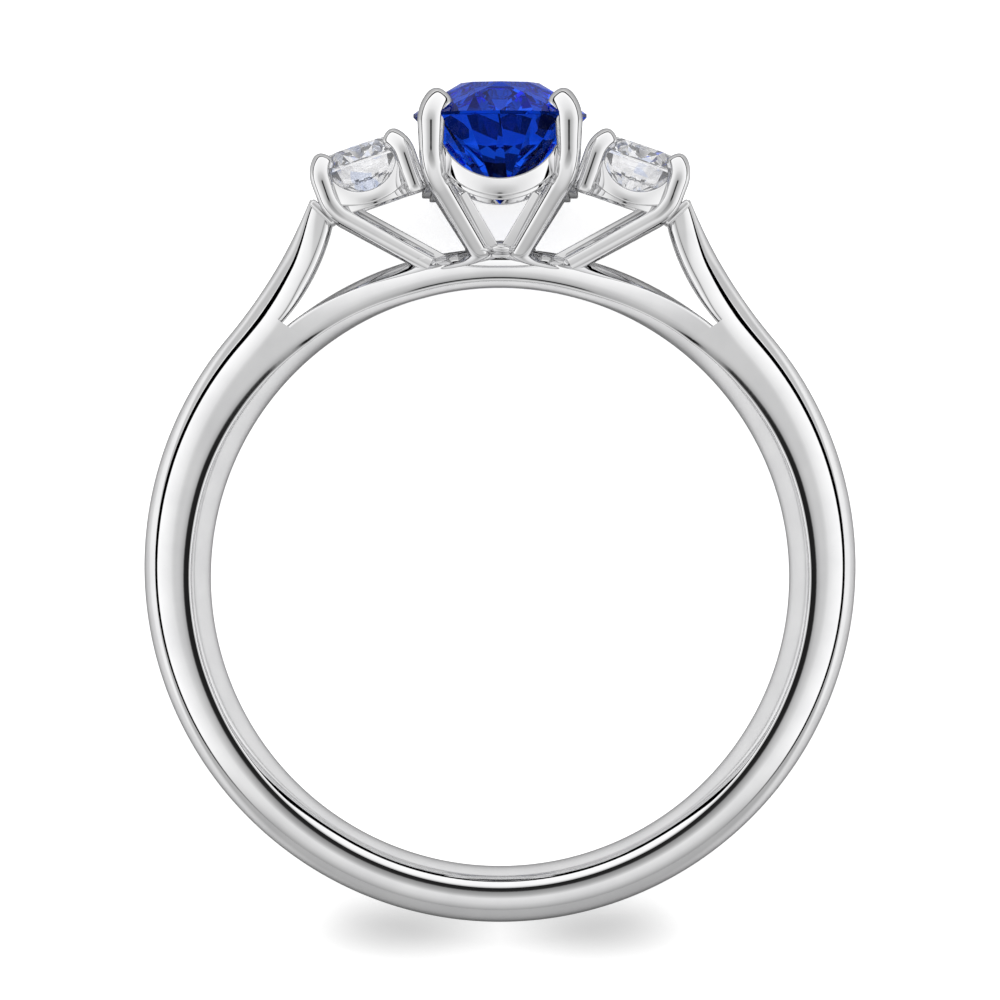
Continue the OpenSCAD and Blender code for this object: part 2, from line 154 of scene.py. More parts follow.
class HeadSizes(bpy.types.PropertyGroup):
    """Sizes of the baskets, claws and webs."""

    claw_angle: turn("Claw angle", "Direction of the centre claws from across the finger", 47.5)
    claw_out: length("Claw reach", "Centre claw axis beyond the girdle", 0.03)
    claw_r: length("Claw radius", "Radius of a centre claw's head", 0.4)
    foot_r: length("Foot radius", "Radius of a centre claw's foot", 0.31)
    claw_h: length("Claw height", "Top of a centre claw above the girdle", 0.75)
    claw_bend: turn("Claw bend", "How far the claws bend over the stones", 50)
    knee_depth: length("Knee depth", "Knee of a centre claw below the girdle", 1.62)
    knee_r: length("Knee radius", "Radius of a centre claw's knee", 1.6)
    foot_x: length("Foot across", "Centre claw foot across the finger", 0.64)
    foot_z: length("Foot along", "Centre claw foot along the finger", 0.5)
    basket_in: length("Basket inset", "Basket inside the girdle", 0.25)
    basket_t: length("Basket wall", "Wall of the centre basket", 0.45)
    basket_depth: length("Basket depth", "Lowest edge below the girdle", 2.43)
    scallop_t: length("Swag height", "Height of the wall between two claws", 0.53)
    scallop_r: length("Swag top radius", "Radius of the swag's upper edge", 1.87)
    swag_r: length("Swag low radius", "Radius of the swag's lower edge", 2.2)
    wall_rise: length("Wall rise", "How far the wall rises at a claw", 1.35)
    rim_t: length("Rim", "Height of the fine rim below", 0.11)
    side_angle: turn("Side claw angle", "Direction of the side claws", 43)
    side_out: length("Side claw reach", "Side claw axis beyond the girdle", 0.24)
    side_r: length("Side claw radius", "Radius of a side claw's head", 0.33)
    side_foot_r: length("Side foot radius", "Radius of a side claw's foot", 0.3)
    side_h: length("Side claw height", "Top of a side claw above the girdle", 0.6)
    side_knee_depth: length("Side knee depth", "Knee of a side claw below the girdle", 1.08)
    side_knee_r: length("Side knee radius", "Radius of a side claw's knee", 1.1)
    side_foot_x: length("Side foot across", "Side claw foot across the finger", 2.35)
    side_foot_z: length("Side foot along", "Side claw foot along the finger", 0.6)
    side_basket_out: length("Side basket size", "Side basket beyond the girdle", 0.29)
    side_basket_t: length("Side wall", "Wall of a side basket", 0.35)
    side_depth: length("Side basket depth", "Lowest edge below the girdle", 1.28)
    side_scallop_t: length("Side swag height", "Height of the wall between two claws", 0.38)
    side_scallop_r: length("Side swag top radius", "Radius of the upper edge", 1.08)
    side_swag_r: length("Side swag low radius", "Radius of the lower edge", 2.3)
    side_rise: length("Side wall rise", "How far the wall rises at a claw", 0.72)
    side_rim_t: length("Side rim", "Height of the flat rim below", 0.09)
    lug_t: length("Lug width", "Width of the solder between two baskets", 0.4)
    lug_h: length("Lug height", "Height of the solder between two baskets", 0.56)
    web_show: length("Web", "How far a web shows beside its legs", 0.26)
    side_web_show: length("Side web", "How far a side web shows beside its legs", 0.14)


class FinishColours(bpy.types.PropertyGroup):
    """Colours of the metal, the stones and the floor."""

    metal: colour("White gold", "Polished metal", (0.93, 0.93, 0.935))
    worn: colour("Worn metal", "Metal where the polish is thinner", (0.86, 0.86, 0.87))
    polish: share("Polish", "Roughness of the polished metal", 0.008)
    # The stones' colours are mixed by growth zones and, as painted light, facet by facet
    deep: colour("Sapphire", "Deep blue of the sapphire", (0.001, 0.003, 0.03))
    pale: colour("Bright blue", "Bright facets of the sapphire", (0.008, 0.1, 0.95))
    clear: colour("Diamond", "Body of the diamonds", (0.99, 0.99, 1.0))
    blue_flecks_and_painted_facets: colour("Fleck", "Blue flecks of the diamonds", (0.66, 0.74, 0.97))
    floor: colour("Floor", "Pale floor", (0.9, 0.9, 0.9))
    glow: share("Floor light", "How much brighter the board is straight on", 0.7, 2.0)


class StudioSettings(bpy.types.PropertyGroup):
    """Camera and lights."""

    camera_far: length("Camera distance", "Camera from the middle of the view", 340)
    view_h: length("View height", "Height that the view takes in", 29.41)
    view_y: length("View middle", "Middle of the view above the finger hole's", 2.257)
    raise_eye: turn("Eye", "How far the camera looks down on the stones", 0.0)
    key: FloatProperty(name="Key light", description="Key light power", default=1.6, unit="POWER")


# Plain geometry in the upright ring: x across the finger, y towards the stones, z along the finger


def unit(v):
    """The direction of v."""
    return v / np.linalg.norm(v)


def polar(angle):
    """The direction at an angle."""
    return np.array([math.cos(angle), math.sin(angle)])


def ease(t):
    """A smooth step from 0 to 1."""
    t = np.clip(t, 0.0, 1.0)
    return t * t * (3 - 2 * t)


def spread(loop, count):
    """Evenly spaced points on a closed line of points."""
    closed = np.vstack([loop, loop[:1]])
    along = np.concatenate([[0], np.cumsum(np.linalg.norm(np.diff(closed, axis=0), axis=1))])
    at = np.linspace(0, along[-1], count, endpoint=False)
    return np.stack([np.interp(at, along, closed[:, k]) for k in range(loop.shape[1])], axis=1)


LOOP_POINTS = 900


def soft_loop(loop, width):
    """A closed line with its corners rounded, as polishing does."""
    count = LOOP_POINTS
    even = spread(loop, count)
    perimeter = np.linalg.norm(np.diff(np.vstack([even, even[:1]]), axis=0), axis=1).sum()
    wave = np.fft.fftfreq(count, d=perimeter / count)
    damp = np.exp(-2 * (math.pi * wave * width) ** 2)[:, None]
    return np.real(np.fft.ifft(np.fft.fft(even, axis=0) * damp, axis=0))


def reach(p, m, centre, radius, way=-1):
    """Distance from p along m to the circle: way is -1 where m enters it and 1 where m leaves."""
    q = p - centre
    b = float(q @ m)
    return -b + way * math.sqrt(max(b * b - float(q @ q) + radius * radius, 0.0))


# How far a side basket's inner claws run into the centre basket, and the share of a side
# basket's depth at which an arm meets it
CLAWS_IN = 0.19 * MM
ARM_MEETS = 0.45


def plan(scene):
    """All derived places and sizes, in metres."""
    b, s, h = scene.ring_band, scene.ring_stones, scene.ring_head
    n = SimpleNamespace(b=b, s=s, h=h)
    n.hole_r = b.hole_d / 2
    n.round_r = (b.hole_d + b.palm_t + b.crown_t) / 2
    n.round_o = np.array([0, (b.crown_t - b.palm_t) / 2])
    n.edge_r = b.width / 2
    n.bridge_r = n.hole_r + b.bridge_t
    n.sapphire_y = n.bridge_r + s.sapphire_h
    girdle = 1 / math.hypot(
        2 * math.cos(h.claw_angle) / s.sapphire_w, 2 * math.sin(h.claw_angle) / s.sapphire_l
    )
    n.claw_at = (girdle + h.claw_out) * polar(h.claw_angle)
    n.side_at = (s.diamond_d / 2 + h.side_out) * polar(h.side_angle)
    n.basket_a = s.sapphire_w / 2 - h.basket_in
    n.basket_b = s.sapphire_l / 2 - h.basket_in
    n.side_low = h.side_depth + h.side_rim_t
    n.side_basket_r = s.diamond_d / 2 + h.side_basket_out
    n.diamond_x = (
        n.basket_a
        - CLAWS_IN
        + (n.side_at[0] + h.side_r) * math.cos(s.lean)
        + n.side_low * math.sin(s.lean)
    )
    n.diamond_y = n.bridge_r + s.diamond_h
    lie_reach = n.sapphire_y - s.girdle_t / 2 + n.round_r - n.round_o[1] - n.edge_r
    lie_hyp = math.hypot(s.sapphire_l / 2, lie_reach)
    n.tilt = math.acos(n.edge_r / lie_hyp) - math.atan2(lie_reach, s.sapphire_l / 2)
    n.lie = Matrix.Rotation(n.tilt, 4, "X")
    # Shoulder and arm on the right
    n.arm_tip = side_point(n, n.side_basket_r, -h.side_depth * ARM_MEETS)
    leave_n = polar(b.shoulder)
    leave_p = n.round_o + n.round_r * leave_n
    gap = n.arm_tip - leave_p
    n.sweep_r = float(gap @ gap) / (2 * float(leave_n @ gap))
    n.sweep_o = leave_p + n.sweep_r * leave_n
    out = n.arm_tip - n.sweep_o
    n.tip_turn = math.atan2(out[1], out[0]) % (2 * math.pi)
    fork_p = (n.bridge_r + b.fork_gap) * polar(b.fork)
    arm_in = n.arm_tip + b.arm_t * polar(n.tip_turn)
    chord = arm_in - fork_p
    chord_n = unit(np.array([chord[1], -chord[0]]))
    half = np.linalg.norm(chord) / 2
    n.under_o = (arm_in + fork_p) / 2 + math.sqrt(b.arm_under_r**2 - half**2) * chord_n
    to_fork = fork_p - n.sweep_o
    n.fork_turn = math.atan2(to_fork[1], to_fork[0]) % (2 * math.pi)
    m = polar(n.fork_turn)
    p = n.sweep_o + n.sweep_r * m
    n.fork_depth = reach(p, m, np.zeros(2), n.hole_r)
    q = p + n.fork_depth * m
    n.fork_angle = math.atan2(q[1], q[0])
    n.fork_room = n.fork_depth - inner_sag(n.fork_angle)
    n.fork_out = -m
    return n


def side_point(n, u, h):
    """A point given along the right diamond's slope and depth, in the plane of the ring."""
    c, s = math.cos(n.s.lean), math.sin(n.s.lean)
    return np.array([n.diamond_x + u * c + h * s, n.diamond_y - u * s + h * c])


def side_local(n, p):
    """The same point seen from the diamond."""
    c, s = math.cos(n.s.lean), math.sin(n.s.lean)
    x, y = p[0] - n.diamond_x, p[1] - n.diamond_y
    return np.array([x * c - y * s, x * s + y * c])


def at_sapphire(n, points):
    """Places points drawn round the sapphire's upright axis."""
    points = np.asarray(points, float)
    return np.stack([points[:, 0], n.sapphire_y + points[:, 2], -points[:, 1]], axis=1)


def at_diamond(n, points, side):
    """Places points drawn round a diamond's upright axis."""
    points = np.asarray(points, float)
    c, s = math.cos(n.s.lean), side * math.sin(n.s.lean)
    x, y = points[:, 0], points[:, 2]
    return np.stack(
        [side * n.diamond_x + x * c + y * s, n.diamond_y - x * s + y * c, -points[:, 1]], axis=1
    )


def bridge_y(n, x):
    """Height of the bridge's outside at a place across the finger."""
    return math.sqrt(n.bridge_r**2 - x**2)


# Meshes


def loft(rings, closed=False):
    """Vertices and faces of a skin over closed rings of points; open ends get a cap."""
    m, k = len(rings), len(rings[0])
    verts = [p for ring in rings for p in ring]
    faces = []
    for i in range(m if closed else m - 1):
        a, b = i * k, ((i + 1) % m) * k
        for j in range(k):
            j2 = (j + 1) % k
            faces.append((a + j, a + j2, b + j2, b + j))
    if not closed:
        for base, flip in ((0, True), ((m - 1) * k, False)):
            middle = len(verts)
            verts.append(np.mean(np.array(verts[base : base + k]), axis=0))
            for j in range(k):
                tri = (base + j, base + (j + 1) % k, middle)
                faces.append(tri[::-1] if flip else tri)
    return verts, faces


CREASE = math.radians(38)
SAME_POINT = 1e-8


def piece(n, name, shape, finish, crease=CREASE):
    """A metal piece in the lying frame: smooth, closed and turned outside out."""
    verts, faces = shape
    mesh = bpy.data.meshes.new(name)
    mesh.from_pydata([tuple(float(c) for c in v) for v in verts], [], faces)
    bm = bmesh.new()
    bm.from_mesh(mesh)
    bmesh.ops.remove_doubles(bm, verts=bm.verts, dist=SAME_POINT)
    bmesh.ops.recalc_face_normals(bm, faces=bm.faces)
    bm.to_mesh(mesh)
    bm.free()
    mesh.transform(n.lie)
    obj = bpy.data.objects.new(name, mesh)
    bpy.context.scene.collection.objects.link(obj)
    smooth(obj, crease)
    mesh.materials.append(finish)
    return obj


def smooth(obj, crease):
    """Shades a piece smoothly, apart from edges sharper than the crease."""
    mesh = obj.data
    mesh.polygons.foreach_set("use_smooth", [True] * len(mesh.polygons))
    mesh.set_sharp_from_angle(angle=crease)
    mesh.update()


def settle(obj):
    """Ties a metal piece to the frame: it stands for the soldered metal."""
    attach(obj, "root")
    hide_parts("ring_mount")
    return obj


SAME_CORNER = 1e-7
FEWEST_FACES = 20


def seat_cutter(node, room):
    """The stone a little larger, which cuts its seat into claws and baskets."""
    low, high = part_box(node)
    middle = (low + high) / 2
    source = frame["nodes"][node].data
    bm = bmesh.new()
    for v in source.vertices:
        bm.verts.new(middle + (v.co - middle) * (1 + room))
    bmesh.ops.remove_doubles(bm, verts=bm.verts, dist=SAME_CORNER)
    bmesh.ops.convex_hull(bm, input=bm.verts)
    mesh = bpy.data.meshes.new("seat")
    bm.to_mesh(mesh)
    bm.free()
    cutter = bpy.data.objects.new("seat", mesh)
    bpy.context.scene.collection.objects.link(cutter)
    return cutter


def cut_seat(obj, node, room, crease):
    """Cuts the stone's seat into a piece."""
    cutter = seat_cutter(node, room)
    cut = obj.modifiers.new("seat", "BOOLEAN")
    cut.object = cutter
    cut.operation = "DIFFERENCE"
    cut.solver = "EXACT"
    graph = bpy.context.evaluated_depsgraph_get()
    done = bpy.data.meshes.new_from_object(obj.evaluated_get(graph))
    obj.modifiers.clear()
    if len(done.polygons) < FEWEST_FACES:
        raise RuntimeError(f"{obj.name}: the seat took the whole piece away")
    obj.data = done
    bpy.data.objects.remove(cutter)
    smooth(obj, crease)


# The band


# The face's angle from straight outwards, and the radius of the turn from it to the inside
FACE_SLOPE = math.radians(80)
FACE_TURN = 1.1 * MM

# Width of the flat that meets the curved inside, and depth of that curve, at the sides and at
# the top below the stones, with the angles from the top over which they change
FLAT_AT_SIDES = 0.17 * MM
FLAT_AT_TOP = 0.05 * MM
SAG_AT_TOP = 0.25 * MM
SAG_AT_SIDES = 0.59 * MM
SAG_FROM = math.radians(15)
SAG_OVER = math.radians(57)

# How much wider the shoulders are to each side, and the thickness from which they swell
SWELL = 0.15 * MM
SWELL_FROM = 1.2 * MM

# Points on a straight run, and on a curve for each radian, but no fewer than the last
RUN_POINTS = 6
TURN_POINTS = 24
FEWEST_POINTS = 8


def profile(parts):
    """Half a section from its crest, as (depth, place along the finger). A part is an arc,
    (radius, from, to), or a straight run, (length, None, at), with the angles of its normals
    from straight outwards."""
    at = np.zeros(2)
    points = [at.copy()]
    for size, first, last in parts:
        if first is None:
            steps = [(size / RUN_POINTS, last)] * RUN_POINTS
        else:
            count = max(FEWEST_POINTS, int(TURN_POINTS * (last - first)))
            turns = np.linspace(first, last, count + 1)
            middles = (turns[:-1] + turns[1:]) / 2
            steps = [(size * (last - first) / count, t) for t in middles]
        for far, t in steps:
            at = at + far * np.array([math.sin(t), math.cos(t)])
            points.append(at.copy())
    return np.array(points)


def whole_section(side):
    """A closed section from its half."""
    return np.vstack([side, (side * [1, -1])[::-1][1:-1]])


def upward(angle):
    """How far a place about the hole is from the top: 0 below the stones, 1 from the sides on."""
    from_top = abs(math.pi / 2 - angle)
    return float(ease((from_top - SAG_FROM) / SAG_OVER))


def inner_sag(angle):
    """Depth of the band's curved inside at an angle about the hole."""
    return SAG_AT_TOP + (SAG_AT_SIDES - SAG_AT_TOP) * upward(angle)


def face_flat(angle):
    """Width of the flat that meets the curved inside."""
    return FLAT_AT_TOP + (FLAT_AT_SIDES - FLAT_AT_TOP) * upward(angle)


# The crest's arcs, by the angles where they meet and how much larger each radius is than the
# crest's own where it is fully bent
CREST_TURNS = (0.0, math.radians(35), math.radians(55), FACE_SLOPE)
CREST_BEND = (-0.25, 0.65, -0.2)


def outer_line(room, half, flat, full_room, bent=1.0, back=0.0):
    """Half of the band's outside: a round crest, with a flat back where the arms get thin, and
    where the band is thick, a slightly sloping face below it. The crest is flatter at half
    height where it is fully bent."""
    thick = float(ease((room - SWELL_FROM) / (full_room - SWELL_FROM)))
    half = half + SWELL * thick
    bends = [1 + bend * thick * bent for bend in CREST_BEND]
    spans = list(zip(CREST_TURNS[:-1], CREST_TURNS[1:]))
    deep = sum(r * (math.cos(a) - math.cos(b)) for r, (a, b) in zip(bends, spans))
    wide = sum(r * (math.sin(b) - math.sin(a)) for r, (a, b) in zip(bends, spans))
    f = FACE_SLOPE
    left = half - back - FACE_TURN * (1 - math.sin(f))
    rest = room - FACE_TURN * math.cos(f) - flat
    run = (rest - left * deep / wide) / (math.sin(f) - math.cos(f) * deep / wide)
    run = max(run, 0.0)
    crest_r = (left - run * math.cos(f)) / wide
    parts = [(back, None, 0.0)]
    parts += [(crest_r * r, a, b) for r, (a, b) in zip(bends, spans)]
    parts += [(run, None, f), (FACE_TURN, f, math.pi / 2), (flat, None, math.pi / 2)]
    line = profile(parts)
    return line * [room / line[-1, 0], half / line[-1, 1]]


# Angle where the inside's two arcs meet, and its angle at the edge where it is steep. It gets
# steep towards the sides: from which sideways part of its direction, and over how much of it
INNER_TURN = math.radians(30)
SIDE_TURN = math.radians(42.5)
STEEP_FROM = 0.5
STEEP_OVER = 0.4
INNER_POINTS = 14


def inner_line(edge, sag, steep):
    """Half of the band's curved inside as (height over the hole's wall, place along the
    finger), from its edge. It is a round curve, or steeper at its edge."""
    round_r = (edge * edge + sag * sag) / (2 * sag)
    first = (1 - steep) * math.asin(edge / round_r) + steep * SIDE_TURN
    mid = INNER_TURN
    far_r, near_r = np.linalg.solve(
        [
            [math.sin(first) - math.sin(mid), math.sin(mid)],
            [math.cos(mid) - math.cos(first), 1 - math.cos(mid)],
        ],
        [edge, sag],
    )
    turns = np.linspace(0, mid, INNER_POINTS)
    near = np.stack([near_r * (1 - np.cos(turns)), near_r * np.sin(turns)], axis=1)
    turns = np.linspace(mid, first, INNER_POINTS)[1:]
    far = near[-1] + np.stack(
        [far_r * (math.cos(mid) - np.cos(turns)), far_r * (np.sin(turns) - math.sin(mid))], axis=1
    )
    return np.vstack([near, far])[::-1]


def band_section(n, depth, angle):
    """Half section of the band at an angle about the hole, with its curved inside."""
    sag = inner_sag(angle)
    outer = outer_line(depth - sag, n.edge_r, face_flat(angle), n.fork_room)
    steep = float(ease((abs(math.cos(angle)) - STEEP_FROM) / STEEP_OVER))
    inner = inner_line(outer[-1, 1], sag, steep)
    inner[:, 0] = depth - inner[:, 0]
    return np.vstack([outer, inner[1:]])


# Half width of the flat back at an arm's tip, the share of the arm over which it ends, and the
# shares from which the crest is bent and the inner edge gets sharper towards the fork
ARM_BACK = 0.6 * MM
BACK_OVER = 0.6
BENT_FROM = 0.35
SHARPER_FROM = 0.6
SHARPEST = 0.5

# Points on a rounded edge, and from it to the middle of an arm and of the bridge
CORNER_POINTS = 12
ARM_MIDDLE_POINTS = 7
BRIDGE_MIDDLE_POINTS = 9

# A point this close to a rounded edge is left out
NEAR_EDGE = 0.01 * MM


def arm_section(n, depth, along):
    """Half section of an arm at a share of its length from the tip: the band's outside, cut
    off with a rounded inner edge."""
    bent = float(ease((along - BENT_FROM) / (1 - BENT_FROM)))
    back = ARM_BACK * float(ease((BACK_OVER - along) / BACK_OVER))
    full = n.fork_room
    outer = outer_line(full, n.edge_r, face_flat(n.fork_angle), full, bent, back)
    rounder = float(ease((1 - along) / (1 - SHARPER_FROM)))
    edge = n.b.arm_round * (SHARPEST + (1 - SHARPEST) * rounder)
    turn_u = depth - edge
    turn_z = float(np.interp(turn_u, outer[:, 0], outer[:, 1])) - edge
    turns = np.linspace(0, math.pi / 2, CORNER_POINTS)
    corner = np.stack([turn_u + edge * np.sin(turns), turn_z + edge * np.cos(turns)], axis=1)
    middle = np.linspace(turn_z, 0, ARM_MIDDLE_POINTS)
    inner = np.stack([np.full(ARM_MIDDLE_POINTS, depth), middle], axis=1)
    return np.vstack([outer[outer[:, 0] < turn_u - NEAR_EDGE], corner, inner[1:]])


def softened(side, soften, count):
    """A closed section with polished edges, evenly spaced from its crest."""
    ring = soft_loop(whole_section(side), soften)
    return spread(ring, count)


# Points round a section, and sections along an arm, a shoulder and half the round
BAND_POINTS = 270
ARM_SECTIONS = 48
SHOULDER_SECTIONS = 30
ROUND_SECTIONS = 100


def station(p, m, section):
    """A section set at a point p, with its depth or height along m."""
    return [np.array([p[0] + u * m[0], p[1] + u * m[1], z]) for u, z in section]


def arm_rings(n):
    """Sections of the right arm from its tip to the fork."""
    b = n.b
    rings = []
    for t in np.linspace(n.tip_turn, n.fork_turn, ARM_SECTIONS):
        m = polar(t)
        p = n.sweep_o + n.sweep_r * m
        depth = reach(p, m, n.under_o, b.arm_under_r, 1)
        along = (t - n.tip_turn) / (n.fork_turn - n.tip_turn)
        side = arm_section(n, depth, along)
        rings.append(station(p, m, softened(side, b.soften, BAND_POINTS)))
    return rings


def band_rings(n):
    """Sections from the right fork down to the palm."""
    b = n.b
    rings = []

    def band_at(p, m):
        depth = reach(p, m, np.zeros(2), n.hole_r)
        q = p + depth * m
        side = band_section(n, depth, math.atan2(q[1], q[0]))
        rings.append(station(p, m, softened(side, b.soften, BAND_POINTS)))

    for t in np.linspace(n.fork_turn, b.shoulder + math.pi, SHOULDER_SECTIONS):
        m = polar(t)
        band_at(n.sweep_o + n.sweep_r * m, m)
    for t in np.linspace(b.shoulder, -math.pi / 2, ROUND_SECTIONS)[1:]:
        m = -polar(t)
        band_at(n.round_o - n.round_r * m, m)
    return rings


def mirrored(rings):
    """The same sections on the left, in reverse order."""
    return [[p * np.array([-1, 1, 1]) for p in ring] for ring in reversed(rings)]


def build_band(n, finish):
    """The band and both arms, as one piece."""
    right = band_rings(n)
    arm = arm_rings(n)
    shapes = [loft(right + mirrored(right)[1:]), loft(arm), loft(mirrored(arm))]
    obj = piece(n, "band_and_arms", joined(shapes), finish)
    return [settle(obj)]


# Angles from the fork over which the bridge's section and direction become its own
BRIDGE_MELT = math.radians(24)
BRIDGE_TURN = math.radians(20)
BRIDGE_POINTS = 200
BRIDGE_SECTIONS = 90

# The bridge's own section: the flat and radius of its crest, the flat of its face, and where its
# curved inside starts. Then the rounded edge of its section at the fork
CREST_FLAT = 0.07 * MM
CREST_R = 0.98 * MM
BRIDGE_FLAT = 0.06 * MM
BRIDGE_LOW = math.radians(129)
ROOT_EDGE = 0.12 * MM


def bridge_sections(n):
    """The bridge's section where it leaves the band and the one below the stones, both as
    (height over the hole's wall, place along the finger)."""
    b = n.b
    half = b.bridge_w / 2
    low_r = SAG_AT_TOP / (1 + math.cos(BRIDGE_LOW))
    own = profile(
        [
            (CREST_FLAT, None, 0.0),
            (CREST_R, 0.0, math.pi / 2),
            (BRIDGE_FLAT, None, math.pi / 2),
            (low_r, BRIDGE_LOW, math.pi),
        ]
    )
    own = own * [b.bridge_t / own[-1, 0], half / own[:, 1].max()]
    middle = np.linspace(own[-1, 1], 0, BRIDGE_MIDDLE_POINTS)
    inner = np.stack([np.full(BRIDGE_MIDDLE_POINTS, b.bridge_t), middle], axis=1)
    own = np.vstack([own, inner[1:]])
    own[:, 0] = b.bridge_t - own[:, 0]
    band = band_section(n, n.fork_depth, n.fork_angle)
    slant = float(n.fork_out @ polar(n.fork_angle))
    band[:, 0] = (n.fork_depth - band[:, 0]) * slant
    low = b.bridge_t - ROOT_EDGE
    order = np.argsort(band[:, 0])
    turn_z = float(np.interp(low, band[order, 0], band[order, 1])) - ROOT_EDGE
    turns = np.linspace(0, math.pi / 2, CORNER_POINTS)
    corner = [(low + ROOT_EDGE * math.cos(t), turn_z + ROOT_EDGE * math.sin(t)) for t in turns]
    middle = np.linspace(0, turn_z, CORNER_POINTS)
    top = np.stack([np.full(CORNER_POINTS, b.bridge_t), middle], axis=1)
    root = np.vstack([top[:-1], corner, band[band[:, 0] < low - NEAR_EDGE]])
    return softened(root, b.soften, BRIDGE_POINTS), softened(own, b.soften, BRIDGE_POINTS)


def build_bridge(n, finish):
    """The bridge from fork to fork, whose section melts into the band's."""
    root, own = bridge_sections(n)
    rings = []
    for a in np.linspace(n.fork_angle, math.pi / 2, BRIDGE_SECTIONS):
        out = polar(a)
        turned = float(ease((a - n.fork_angle) / BRIDGE_TURN))
        d = unit((1 - turned) * n.fork_out + turned * out)
        blend = float(ease((a - n.fork_angle) / BRIDGE_MELT))
        section = blend * own + (1 - blend) * root
        q = n.hole_r * out
        rings.append(station(q, d / float(d @ out), section))
    return [settle(piece(n, "bridge", loft(rings + mirrored(rings)[1:]), finish))]


# Claws


# How much deeper along the finger than wide a claw is, how squared, and the radius of its bend
# over the stone as a share of its own
CLAW_DEEP = 1.25
CLAW_SQUARE = 2.5
CLAW_LEAN = 1.9
CLAW_POINTS = 44

# A claw's rounded end: its length and its thickness at the tip as shares of the claw's radius,
# how full it is, and the angles between which it is drawn
CAP_LONG = 0.85
CAP_TIP = 0.12
CAP_FULL = 0.85
CAP_FROM = math.radians(88)
CAP_TO = math.radians(8)
CAP_POINTS = 14

# Points on a claw's bend, neck, knee and leg, and on a short claw's shaft
BEND_POINTS = 22
NECK_POINTS = 10
KNEE_POINTS = 18
LEG_POINTS = 16
SHAFT_POINTS = 12

# How far a leg runs on into the bridge, and how thick a short claw ends
WELD = 0.3 * MM
SHORT_END = 0.9


def tube(path, radii):
    """Claw along a path with a radius at each point, closed at both ends. It is a little
    deeper along the finger than it is wide, and slightly squared as filing leaves it."""
    path = np.asarray(path, float)
    tangents = np.gradient(path, axis=0)
    tangents /= np.linalg.norm(tangents, axis=1)[:, None]
    turns = np.linspace(0, 2 * math.pi, CLAW_POINTS, endpoint=False)
    power = 2 / CLAW_SQUARE
    across = np.sign(np.cos(turns)) * np.abs(np.cos(turns)) ** power
    deep = np.sign(np.sin(turns)) * np.abs(np.sin(turns)) ** power
    rings = []
    for p, t, r in zip(path, tangents, radii):
        side = unit(np.cross(t, [0, 0, 1]))
        up = np.cross(side, t)
        ring = [r * (c * side + d * up) for c, d in zip(across, deep)]
        rings.append([p + v * [1, 1, CLAW_DEEP] for v in ring])
    return loft(rings)


def head_path(at, neck_h, head_r, bend):
    """Top of a claw from its tip down to the straight shaft, with radii."""
    inward = -unit(at)
    lean_r = CLAW_LEAN * head_r
    cap = CAP_LONG * head_r
    points, radii = [], []

    def put(s, h, r):
        points.append([at[0] + inward[0] * s, at[1] + inward[1] * s, h])
        radii.append(r)

    end_s = lean_r * (1 - math.cos(bend))
    end_h = neck_h + lean_r * math.sin(bend)
    for a in np.linspace(CAP_FROM, CAP_TO, CAP_POINTS):
        along = cap * math.sin(a)
        r = head_r * (CAP_TIP + (1 - CAP_TIP) * math.cos(a) ** CAP_FULL)
        put(end_s + along * math.sin(bend), end_h + along * math.cos(bend), r)
    for a in np.linspace(bend, 0, BEND_POINTS):
        put(lean_r * (1 - math.cos(a)), neck_h + lean_r * math.sin(a), head_r)
    return points, radii


def claw_path(at, top, foot, knee, bend_r, head_r, low_r, bend):
    """A claw in its stone's frame, from its tip over the knee down into the bridge. Its front
    line runs straight down to the knee while the claw gets thinner."""
    neck_h = top - head_r - CLAW_LEAN * head_r * math.sin(bend)
    points, radii = head_path(at, neck_h, head_r, bend)
    mid_r = (head_r + low_r) / 2
    run = np.array([foot[0] - at[0], foot[1] - at[1]])
    far = np.linalg.norm(run)
    out = run / far
    slope = math.atan2(far, knee - foot[2])
    tangent = bend_r * math.tan(slope / 2)
    high = knee + tangent
    thinner = math.copysign(CLAW_DEEP * (head_r - mid_r), at[1])
    for f in np.linspace(0, 1, NECK_POINTS)[1:-1]:
        points.append([at[0], at[1] + f * thinner, neck_h + f * (high - neck_h)])
        radii.append(head_r + f * (mid_r - head_r))
    for a in np.linspace(0, slope, KNEE_POINTS):
        s = bend_r * (1 - math.cos(a))
        x, y = at[0] + out[0] * s, at[1] + thinner + out[1] * s
        points.append([x, y, high - bend_r * math.sin(a)])
        radii.append(mid_r)
    end = np.array(points[-1])
    toward = np.array(foot) - end
    leg = np.linalg.norm(toward)
    toward = toward / leg
    for f in np.linspace(0, 1, LEG_POINTS)[1:]:
        d = f * (leg + WELD)
        points.append(list(end + toward * d))
        radii.append(mid_r + f * (low_r - mid_r))
    return points, radii


def short_path(at, top, low, head_r, bend):
    """A short claw that ends on the basket's lower edge."""
    neck_h = top - head_r - CLAW_LEAN * head_r * math.sin(bend)
    points, radii = head_path(at, neck_h, head_r, bend)
    for f in np.linspace(0, 1, SHAFT_POINTS)[1:]:
        points.append([at[0], at[1], neck_h + f * (low - neck_h)])
        radii.append(head_r)
    radii[-1] = head_r * SHORT_END
    return points, radii


CORNERS = (
    (1, 1, "right_front"),
    (1, -1, "right_back"),
    (-1, 1, "left_front"),
    (-1, -1, "left_back"),
)
CLAW_CREASE = math.radians(40)


